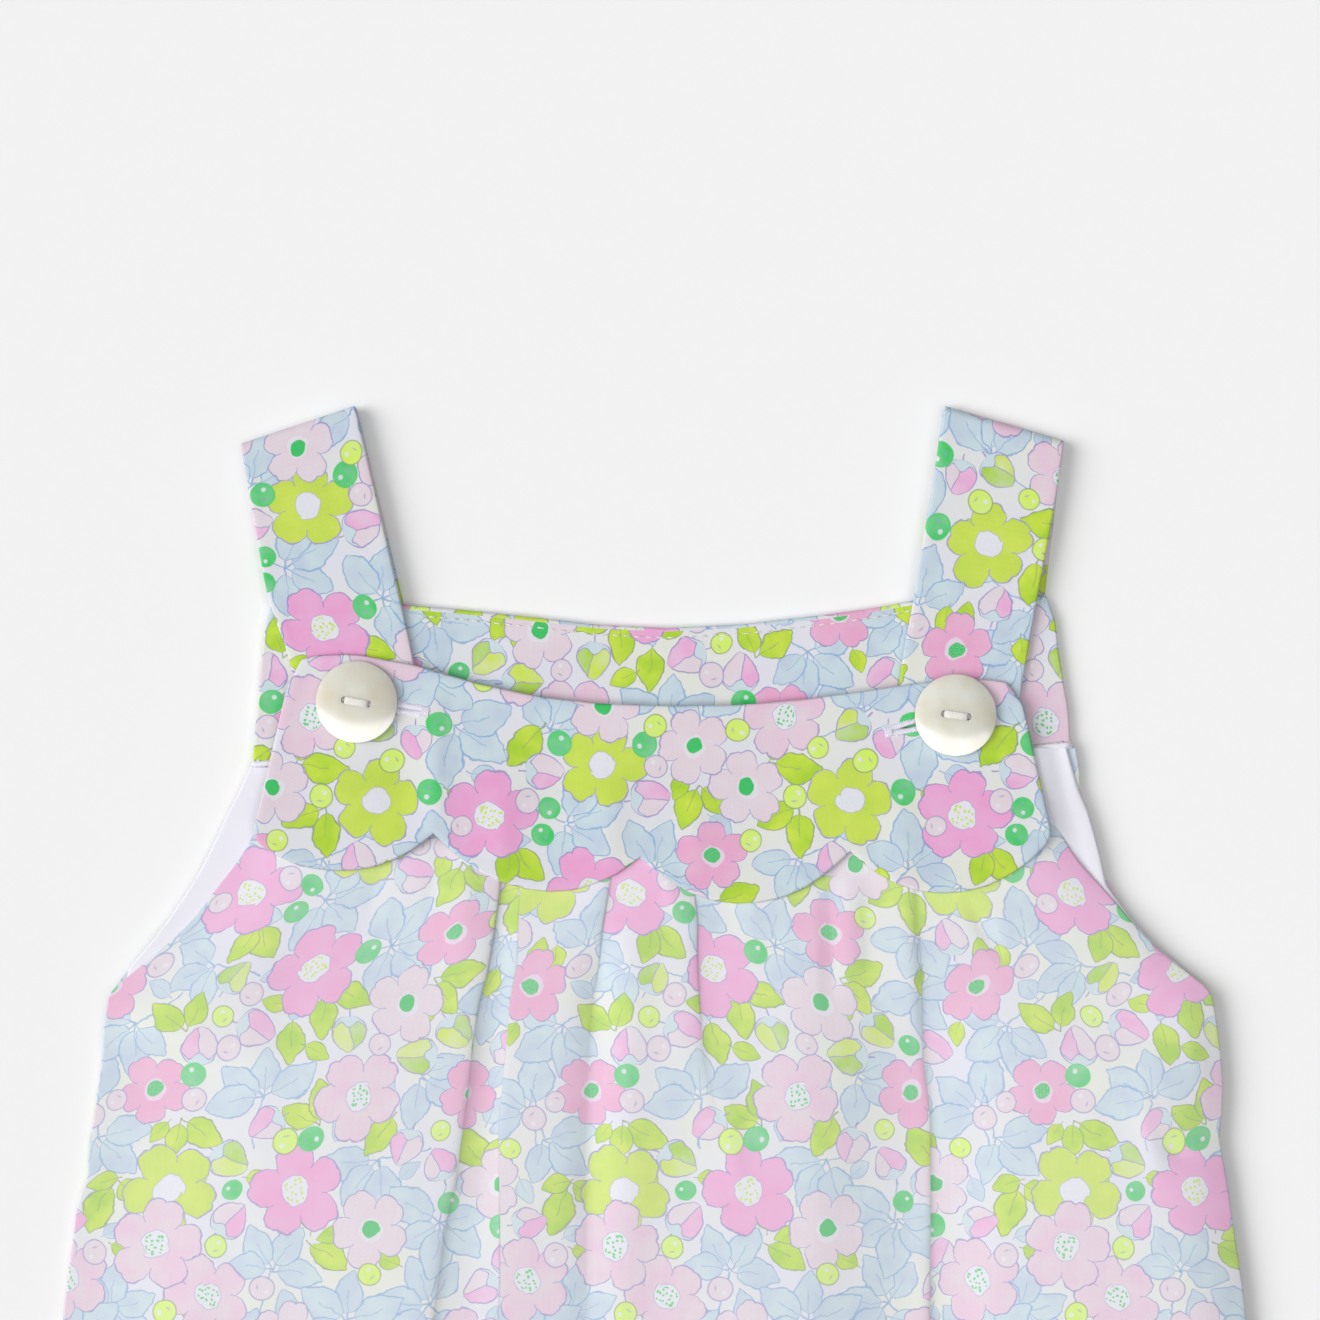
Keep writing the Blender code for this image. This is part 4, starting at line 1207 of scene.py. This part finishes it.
def tube(path, radius, sides=8):
    """Vertices and faces of a closed round tube along a path of points."""
    path = np.asarray(path, float)
    ahead = np.gradient(path, axis=0)
    ahead /= np.linalg.norm(ahead, axis=1)[:, None]
    bend = np.cross(ahead[:-1], ahead[1:]).sum(axis=0)
    straight = (0.0, 0.0, 1.0) if abs(ahead[0, 2]) < 0.9 else (1.0, 0.0, 0.0)
    side = bend if np.linalg.norm(bend) > 0.05 else np.cross(ahead[0], straight)
    side = side - (ahead @ side)[:, None] * ahead
    side /= np.linalg.norm(side, axis=1)[:, None]
    lift = np.cross(side, ahead)
    turns = np.linspace(0.0, math.tau, sides, endpoint=False)
    ring = np.cos(turns)[None, :, None] * side[:, None] + np.sin(turns)[None, :, None] * lift[:, None]
    vertices = (path[:, None] + ring * radius).reshape(-1, 3)
    faces = ring_faces(len(path), sides)
    first, last = len(vertices), len(vertices) + 1
    tail = (len(path) - 1) * sides
    for k in range(sides):
        faces.append((first, (k + 1) % sides, k))
        faces.append((last, tail + k, tail + (k + 1) % sides))
    return np.concatenate((vertices, path[:1], path[-1:])), faces


def sewn(name, parts, material=SEWING_THREAD):
    """One piece of sewing from several lists of vertices and faces."""
    vertices, faces, count = [], [], 0
    for part_vertices, part_faces in parts:
        vertices.append(part_vertices)
        faces += [tuple(corner + count for corner in face) for face in part_faces]
        count += len(part_vertices)
    made = link_mesh(name, np.concatenate(vertices), faces, material)
    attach(made, BODY)
    return made


def stitch(start, end, sink=0.25, radius=0.2, crown=0.12):
    """One stitch: a thread that rises from the cloth, runs along it and sinks in again."""
    start, end = np.asarray(start, float), np.asarray(end, float)
    shares = np.array((0.0, 0.1, 0.3, 0.5, 0.7, 0.9, 1.0))[:, None]
    lifts = np.array((-sink, 0.0, crown, crown * 1.2, crown, 0.0, -sink))[:, None]
    return tube(start + (end - start) * shares + lifts * (0.0, 0.0, 1.0), radius, sides=6)


def button_piece(side, button):
    """A turned shell button: a low dome with two drilled holes, and a thin edge."""
    profile = [(0.0, 0.0), (7.4, 0.0), (8.4, 0.15), (8.85, 0.4), (9.0, 0.75)]
    for radius in (8.93, 8.75, 8.4, 8.0, 7.4, 6.8, 6.0, 5.2, 4.4, 3.5, 2.4, 1.2, 0.0):
        profile.append((radius, 2.6 - 0.011 * radius ** 2 - 1.05e-4 * radius ** 4))
    bm = bmesh.new()
    rings = []
    for radius, height in profile:
        turns = np.arange(BUTTON_SIDES if radius else 1) * math.tau / BUTTON_SIDES
        ring = np.column_stack((radius * np.cos(turns), radius * np.sin(turns), np.full(len(turns), height)))
        rings.append([bm.verts.new(spot) for spot in ring * MM])
    for inner, outer in zip(rings, rings[1:]):
        for k in range(BUTTON_SIDES):
            corners = [ring[index % len(ring)] for ring, index in
                       ((inner, k), (inner, k + 1), (outer, k + 1), (outer, k))]
            bm.faces.new(list(dict.fromkeys(corners)))
    bmesh.ops.recalc_face_normals(bm, faces=bm.faces)
    name = f"button_{side}_shell"
    made = add_object(name, mesh_of(name, bm))
    made.data.materials.append(SHELL)
    drills = []
    for offset in (-HOLE_SPREAD / 2, HOLE_SPREAD / 2):
        bm = bmesh.new()
        place = Matrix.Translation(Vector((offset, 0.0, 1.2)) * MM)
        bmesh.ops.create_cone(bm, cap_ends=True, segments=32, radius1=HOLE_RADIUS * MM,
                              radius2=HOLE_RADIUS * MM, depth=8.0 * MM, matrix=place)
        drills.append(add_object("drill", mesh_of("drill", bm)))
        cut = made.modifiers.new("hole", "BOOLEAN")
        cut.operation, cut.object, cut.solver = "DIFFERENCE", drills[-1], "EXACT"
    bpy.context.view_layer.update()
    final = bpy.data.meshes.new_from_object(made.evaluated_get(bpy.context.evaluated_depsgraph_get()))
    made.modifiers.clear()
    made.data = final
    for drill in drills:
        bpy.data.objects.remove(drill, do_unlink=True)
    place = Matrix.Translation(Vector((*button["centre"], BUTTON_UNDER)) * MM)
    final.transform(place @ Matrix.Rotation(math.radians(button["turn"]), 4, "Z"))
    final.shade_smooth()
    final.set_sharp_from_angle(angle=math.radians(50.0))
    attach(made, BODY)
    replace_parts(made, f"button_{side}")


def thread_piece(side, button):
    """Strands of thread over the button from hole to hole, and down through both holes."""
    angle = math.radians(button["turn"])
    along = np.array((math.cos(angle), math.sin(angle), 0.0))
    across = np.array((-along[1], along[0], 0.0))
    up = np.array((0.0, 0.0, 1.0))
    centre = np.array((*button["centre"], BUTTON_UNDER))
    half = HOLE_SPREAD / 2
    arch = ((-1.02, -1.0), (-1.02, 0.6), (-1.0, 1.9), (-0.93, 2.38), (-0.78, 2.62), (-0.4, 2.7), (0.0, 2.72))
    arch += tuple((-reach, height) for reach, height in arch[-2::-1])
    parts = []
    for lane, lift in ((-0.58, 0.0), (-0.3, 0.05), (0.0, 0.07), (0.3, 0.05), (0.58, 0.0)):
        parts.append(tube([centre + along * half * reach + across * lane + up * (height + lift)
                           for reach, height in arch], 0.21))
    for reach, lane in ((-1.16, -0.25), (-1.16, 0.25), (-1.2, 0.0), (1.16, -0.25), (1.16, 0.25), (1.2, 0.0)):
        low = centre + along * half * reach + across * lane
        parts.append(tube([low + up * height for height in (-1.0, 0.5, 2.15)], 0.2))
    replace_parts(sewn(f"thread_{side}_strands", parts), f"thread_{side}")


def bib_level(spot):
    """Height of the bib's upper face at one point."""
    return float(bib_height(np.array([spot[0]]), np.array([spot[1]]))[0])


def buttonhole_piece(side, button):
    """Worked edges of a buttonhole: thread wound over both lips, and a bar at the end."""
    along, across = slit_axes(button)
    parts = []
    draw = random.Random(side)
    for reach in np.linspace(BUTTONHOLE_START, SLIT_LENGTH, 76):
        for lip in (-1.0, 1.0):
            wide = BUTTONHOLE_HALF_WIDTH + draw.uniform(-0.16, 0.16)
            spot = np.array(button["centre"]) + along * (reach + draw.uniform(-0.05, 0.05))
            inner, outer = spot + across * lip * slit_half_width(reach, button), spot + across * lip * wide
            ends = (*inner, bib_level(inner) - 0.02), (*outer, bib_level(outer) - 0.05)
            parts.append(stitch(*ends, sink=0.3, radius=0.15, crown=0.1))
    for step in range(5):
        spot = np.array(button["centre"]) + along * (SLIT_LENGTH + 0.3 + step * 0.34)
        low, high = spot - across * BUTTONHOLE_HALF_WIDTH, spot + across * BUTTONHOLE_HALF_WIDTH
        level = bib_level(spot) - 0.05
        parts.append(stitch((*low, level), (*high, level), sink=0.35, radius=0.2, crown=0.22))
    sewn(f"buttonhole_{side}_stitching", parts, BUTTONHOLE_THREAD)


# --------------------------------------------------------------------------------------------------
# Back panel, lining and yoke.
def back_panel():
    """The back with both legs, flat on the surface."""
    intervals = ((EDGE_STEPS, 44, EDGE_STEPS), (EDGE_STEPS, 44, EDGE_STEPS))
    seam_left, seam_right = 161.0, 165.0
    top = 160.0
    levels = ([top - step for step in (0.0, 0.4, 1.0, 2.0)] + spread_levels(top - 4.0, VIEW_LOW_Y, 2.4)
              + spread_levels(VIEW_LOW_Y, HEM_Y + 2.0, 4.0) + [HEM_Y + step for step in reversed(EDGE_STEPS)])
    x, y, quads, _ = panel_grid(BACK, levels, [lambda y: 0.0], 0, intervals)
    share = ease((y - 120.0) / 40.0)
    y = y + share * (seam_left - top + (seam_right - seam_left) * (x + 90.0) / 180.0 - 0.3)
    distance = distance_to(BACK.loop, x, y)
    x = waved(x, y) - 1.0 * ease((y - 138.0) / 5.0) * ease((159.5 - y) / 3.0) * ease((x - 84.0) / 6.0)
    at_right_arm = ease((y - 106.0) / 14.0) * ease((x - 80.0) / 6.0) * ease(1.0 - distance / 6.0)
    upper = BACK_TOP - rounded_edge(distance, 0.4) + at_right_arm * 1.5
    lower = rounded_edge(distance, 0.35) + at_right_arm * 0.8
    across, along = PRINT_START["back_panel"]
    panel_shell("back_panel", x, y, np.maximum(upper, lower + 0.08), lower, quads, across - x, along + y)


def flat_patch(node, loop, corners, low, top_height, step, material, turned=1.0):
    """A flat piece with four corners between two heights, with soft edges.

    Above the share `turned` of its height, the cloth is a strip of the other side, folded over.
    """
    size = loop.max(axis=0) - loop.min(axis=0)
    across, up = fine_shares(size[0], step), fine_shares(size[1], step)
    if turned < 1.0:
        strip = np.linspace(turned, 1.0, 4)[1:]
        up = np.concatenate((up[up < turned - 0.01], (turned, turned + 0.0005), strip))
    points = patch(loop, corners, across, up)
    x, y = points[..., 0], points[..., 1]
    top = top_height(x, y) - rounded_edge(distance_to(loop, x, y), 0.45)
    flat = PRINT_START[node] + points.reshape(-1, 2) * (-1.0, 1.0)
    folded = np.repeat(up[::-1] > turned, len(across))
    flat[folded] = np.column_stack((x.ravel(), 200.0 - y.ravel()))[folded]
    made = cloth_shell(f"{node}_cloth", points.reshape(-1, 2), top.ravel(), np.full(x.size, low),
                       grid_quads(*x.shape), flat, material)
    finish_cloth(made, node)


# The x of the lining's edge at the right armhole, by level.
LINING_RIGHT_EDGE = (
    (104, 122.0), (111, 121.0), (120, 109.5), (130, 101.5), (141, 96.8), (150, 94.3), (165, 91.0),
)


def back_lining():
    """White lining of the back, seen in the armholes, reaching to the edge of the back."""
    loop = plan_loops("back_lining")[0]
    x, y = loop[:, 0], loop[:, 1]
    outwards = 1.25 * ease((-x - 60.0) / 25.0) - 1.45 * ease((x - 60.0) / 25.0) * ease((157.5 - y) / 3.0)
    loop = np.column_stack((x - outwards, y))

    def height(x, y):
        from_edge = by_level(LINING_RIGHT_EDGE, y) - x
        crease = 0.25 * np.exp(-((from_edge - 1.6) / 0.8) ** 2)
        crease -= 0.15 * np.exp(-((from_edge - 3.4) / 1.5) ** 2)
        raised = 0.75 * ease((x - 78.0) / 8.0)
        raised = raised + (0.3 + 0.75 * ease((y - 142.0) / 7.0)) * np.exp(-((from_edge - 8.5) / 3.2) ** 2)
        return LINING_TOP + 0.1 + raised + crease * ease((x - 80.0) / 6.0) + ripples(x, y, 8, 0.12, 22.0)

    flat_patch("back_lining", loop, four_corners(loop), LINING_UNDER, height, 2.0, LINING)


def back_yoke():
    """Back yoke, whose inside shows above the bib; its facing shows as a thin strip along the neck edge."""
    loop = plan_loops("back_yoke")[0]
    x, y = loop[:, 0], loop[:, 1]
    waves = 0.7 * np.exp(-((y - 173.8) / 1.8) ** 2) - 0.35 * np.exp(-((y - 169.5) / 1.6) ** 2)
    loop = np.column_stack((x + waves * ease((x - 80.0) / 5.0), y))

    def height(x, y):
        return YOKE_TOP + ripples(x, y, 3, 0.14, 24.0)

    flat_patch("back_yoke", loop, four_corners(loop, -3.0), 0.0, height, 1.2, BIB_PRINT,
               turned=0.972)
    neck = [spot for spot in loop if spot[1] > 188.0 and abs(spot[0]) < 58.0]
    neck = np.array(sorted(neck, key=lambda spot: spot[0]))
    route = np.column_stack((neck[:, 0], neck[:, 1] - 2.1, np.full(len(neck), YOKE_TOP + 0.05)))
    sewn("back_yoke_topstitching", dashes(route, 1.5, 0.9, 0.15))


def seam_band(name, start, end):
    """The overcast seam where the lining meets the yoke."""
    start, end = np.array(start), np.array(end)
    along = (end - start) / np.linalg.norm(end - start)
    across = np.array((-along[1], along[0], 0.0))
    draw = random.Random(name)
    parts = [tube([start + (end - start) * share for share in np.linspace(0.0, 1.0, 8)], 0.75)]
    count = int(np.linalg.norm(end - start) / 0.33)
    for number in range(count + 1):
        spot = start + (end - start) * number / count
        low, high = (across * draw.uniform(0.6, 0.95) + along * draw.uniform(-0.3, 0.3) for _ in range(2))
        parts.append(stitch(spot - low, spot + high, sink=0.3, radius=0.24, crown=0.36))
    sewn(name, parts, LINING)


def dashes(route, length, pause, radius):
    """Running stitches along a route of points."""
    route = np.asarray(route, float)
    steps = np.linalg.norm(np.diff(route, axis=0), axis=1)
    along = np.concatenate(([0.0], np.cumsum(steps)))
    parts, reach = [], 0.5 * pause
    while reach + length < along[-1]:
        ends = [[float(np.interp(d, along, route[:, k])) for k in range(3)] for d in (reach, reach + length)]
        parts.append(stitch(*ends, radius=radius))
        reach += length + pause
    return parts


# --------------------------------------------------------------------------------------------------
# Straps.
STRAPS = {  # edges of the upper layer from its fold down, and where the lower layer meets the yoke
    "strap_left": {
        "outer": ((-92.0, 231.6), (-89.8, 219.1), (-85.9, 197.1), (-81.0, 184.0), (-76.5, 158.0)),
        "inner": ((-66.7, 240.0), (-61.8, 219.1), (-56.4, 196.0), (-53.5, 182.8), (-50.0, 156.0)),
        "yoke": ((-85.4, 197.4), (-56.2, 196.4)),
    },
    "strap_right": {
        "outer": ((89.5, 232.3), (87.6, 219.1), (83.4, 197.0), (79.6, 175.1), (77.5, 158.0)),
        "inner": ((63.1, 240.0), (59.8, 219.1), (56.1, 196.4), (53.4, 182.4), (51.0, 156.0)),
        "yoke": ((85.5, 198.4), (57.0, 197.4)),
    },
}
STRAP_WALL = 1.2
STRAP_FOLD = 1.4
STRAP_LOW_SECTIONS, STRAP_FOLD_SECTIONS, STRAP_UPPER_SECTIONS = 14, 14, 65
STRAP_STEPS = np.array((0.0, 0.12, 0.32, 0.62, 1.0, 1.5, 2.2))  # from each edge inwards


def edge_reader(points):
    """A function that gives the point of a softened polyline at a share of its length."""
    points = np.array(points, float)
    steps = np.hypot(*np.diff(points, axis=0).T)
    along = np.concatenate(([0.0], np.cumsum(steps))) / steps.sum()

    def read(share):
        nearby = [np.clip(share + step, 0.0, 1.0) for step in (-0.05, 0.0, 0.05)]
        spots = [np.column_stack([np.interp(spot, along, column) for column in points.T]) for spot in nearby]
        ends = np.clip(np.minimum(share, 1.0 - share) / 0.05, 0.0, 1.0)[:, None]
        return spots[1] * (1.0 - ends) + np.mean(spots, axis=0) * ends

    return read


def strap_sections(sizes):
    """Sections of a strap, up from the yoke, around the fold and down: both edges, height and normal."""
    outer, inner = edge_reader(sizes["outer"]), edge_reader(sizes["inner"])
    outer_low = edge_reader((sizes["outer"][0], sizes["yoke"][0]))
    inner_low = edge_reader((sizes["inner"][0], sizes["yoke"][1]))
    top, next_row = np.array(sizes["outer"][:2]) + np.array(sizes["inner"][:2])
    upward = (top - next_row) / np.linalg.norm(top - next_row)
    half = STRAP_WALL / 2
    reach = STRAP_FOLD + half
    high = half + 2.0 * STRAP_FOLD
    over_yoke = STRAP_UNDER + half
    stations = []  # the two edges, the share along them, how far past the fold, the height and the normal
    for share in np.linspace(1.0, 0.0, STRAP_LOW_SECTIONS, endpoint=False):
        stations.append((outer_low, inner_low, share, 0.0, half, (0.0, 1.0)))
    for angle in np.linspace(0.0, math.pi, STRAP_FOLD_SECTIONS):
        sin, cos = math.sin(angle), math.cos(angle)
        stations.append((outer, inner, 0.0, STRAP_FOLD * sin, half + STRAP_FOLD * (1.0 - cos), (-sin, cos)))
    for share in np.linspace(0.0, 1.0, STRAP_UPPER_SECTIONS + 1)[1:]:
        height = high + (over_yoke - high) * float(ease(share * 3.0))
        height += 0.25 * math.sin(math.pi * min(share * 1.6, 1.0))
        stations.append((outer, inner, share, 0.0, height, (0.0, -1.0)))
    sections = []
    for left_edge, right_edge, share, past, height, (forward, rise) in stations:
        slide = upward * (past - reach) * (1.0 - min(share * 8.0, 1.0))
        left, right = (edge(np.array([share]))[0] + slide for edge in (left_edge, right_edge))
        sections.append((left, right, height, np.array((*(upward * forward), rise))))
    return sections


def strap(name, sizes):
    """A flat double strap: up from the yoke, folded over at the top, and down under the bib."""
    half = STRAP_WALL / 2
    print_start = PRINT_START[name]
    rings, flat = [], []
    travelled, before = 0.0, None
    for number, (left, right, height, normal) in enumerate(strap_sections(sizes)):
        width = np.linalg.norm(right - left)
        middle = np.linspace(STRAP_STEPS[-1], width - STRAP_STEPS[-1], 26)[1:-1]
        offsets = np.concatenate((STRAP_STEPS, middle, width - STRAP_STEPS[::-1]))
        spot = np.array((*((left + right) / 2), height))
        travelled += 0.0 if before is None else np.linalg.norm(spot - before)
        before = spot
        inward = np.minimum(offsets, width - offsets)
        thick = half - rounded_edge(inward, 0.4, half) * 0.98
        crown = 0.10 * np.exp(-((inward - 1.5) / 0.9) ** 2)
        around = np.concatenate((np.arange(len(offsets)), np.arange(len(offsets))[::-1]))
        side = np.repeat((1.0, -1.0), len(offsets))
        crowned = (side < 0.0) | (number >= STRAP_LOW_SECTIONS + STRAP_FOLD_SECTIONS)
        out = thick[around] + crown[around] * crowned
        plan = left + (right - left) / width * offsets[around, None]
        points = np.column_stack((plan, np.full(len(around), height)))
        rings.append(points + normal * -side[:, None] * out[:, None])
        print_y = np.full(len(around), print_start[1] - travelled)
        flat.append(np.column_stack((print_start[0] + offsets[around] - width / 2, print_y)))
    count = len(around)
    faces = [(a, d, c, b) for a, b, c, d in ring_faces(len(rings), count)]
    for base, flip in ((0, False), ((len(rings) - 1) * count, True)):
        for k in range(count // 2 - 1):
            face = (base + k, base + k + 1, base + count - 2 - k, base + count - 1 - k)
            faces.append(face[::-1] if flip else face)
    vertices, faces = np.concatenate(rings), np.array(faces)
    first, second, _, last = vertices[faces[0]]
    if np.cross(second - first, last - first)[2] > 0.0:
        faces = faces[:, ::-1]
    made = link_mesh(f"{name}_cloth", vertices, faces.tolist(), BIB_PRINT)
    print_on(made.data, np.concatenate(flat), faces)
    finish_cloth(made, name)


# --------------------------------------------------------------------------------------------------
# Stage, light and camera.
FLOOR_LIGHT, FLOOR_DARK = (0.80, 0.80, 0.80, 1.0), (0.797, 0.797, 0.797, 1.0)
FLOOR_HALF, FLOOR_LEVEL = 4.0, -0.0001
VIEW_CENTRE = Vector((0.44, 183.9, 4.0)) * MM
VIEW_DISTANCE = 0.8067
CARD_TILT = math.radians(47.0)


def stage():
    """A plain pale floor."""
    bm = bmesh.new()
    bmesh.ops.create_grid(bm, x_segments=1, y_segments=1, size=FLOOR_HALF)
    floor = add_object("floor", mesh_of("floor", bm))
    floor.location.z = FLOOR_LEVEL
    made, tree, shader = new_material("pale floor", {"Roughness": 0.9, "Specular IOR Level": 0.0})
    speck = noise(tree, add_node(tree, "TexCoord", {}).outputs["Object"], 3.0, 2.0)
    feed(tree, shader.inputs["Base Color"], mixed(tree, speck, FLOOR_LIGHT, FLOOR_DARK))
    floor.data.materials.append(made)


def add_light(name, kind, towards, **settings):
    """A light that shines from one direction."""
    light = bpy.data.lights.new(name, kind)
    for setting, value in settings.items():
        setattr(light, setting, value)
    made = add_object(name, light)
    made.rotation_mode = "QUATERNION"
    made.rotation_quaternion = Vector(towards).to_track_quat("Z", "Y")
    return made


def light_and_camera():
    """Soft studio light from the left, a glossy card, and a camera straight above."""
    world = bpy.data.worlds.new("studio")
    bpy.context.scene.world = world
    world.use_nodes = True
    background = world.node_tree.nodes["Background"]
    background.inputs["Color"].default_value = (1.0, 1.0, 1.0, 1.0)
    background.inputs["Strength"].default_value = 0.1
    for name, towards, strength, spread in (("key", (-0.788, 0.03, 0.616), 2.94, 46.0),
                                            ("fill", (0.15, -0.1, 1.0), 1.4, 60.0)):
        far = add_light(name, "SUN", towards, energy=strength, angle=math.radians(spread))
        far.visible_glossy = False
    direction = Vector((-0.08, -math.sin(CARD_TILT), math.cos(CARD_TILT)))
    card = add_light("reflector card", "AREA", direction, shape="RECTANGLE", size=2.6, size_y=1.04,
                     energy=58.0)
    card.location = VIEW_CENTRE + direction
    card.visible_diffuse = False
    camera = add_object("camera", bpy.data.cameras.new("camera"))
    camera.data.lens, camera.data.sensor_width = 100.0, 36.0
    camera.data.clip_start, camera.data.clip_end = 0.01, 20.0
    camera.location = VIEW_CENTRE + Vector((0.0, 0.0, VIEW_DISTANCE))
    bpy.context.scene.camera = camera
    bpy.context.scene.view_settings.view_transform = "Standard"


# --------------------------------------------------------------------------------------------------
stage()
light_and_camera()
back_panel()
back_lining()
back_yoke()
seam_band("seam_right_stitching", (82.0, 164.3, YOKE_TOP + 0.2), (91.0, 165.2, YOKE_TOP + 0.2))
seam_band("seam_left_stitching", (-89.3, 160.9, YOKE_TOP + 0.1), (-84.0, 161.2, YOKE_TOP + 0.1))
front_panel()
hem_stitching()
for strap_name, strap_sizes in STRAPS.items():
    strap(strap_name, strap_sizes)
bib()
for side, button in BUTTONS.items():
    button_piece(side, button)
    thread_piece(side, button)
    buttonhole_piece(side, button)

bpy.context.view_layer.update()
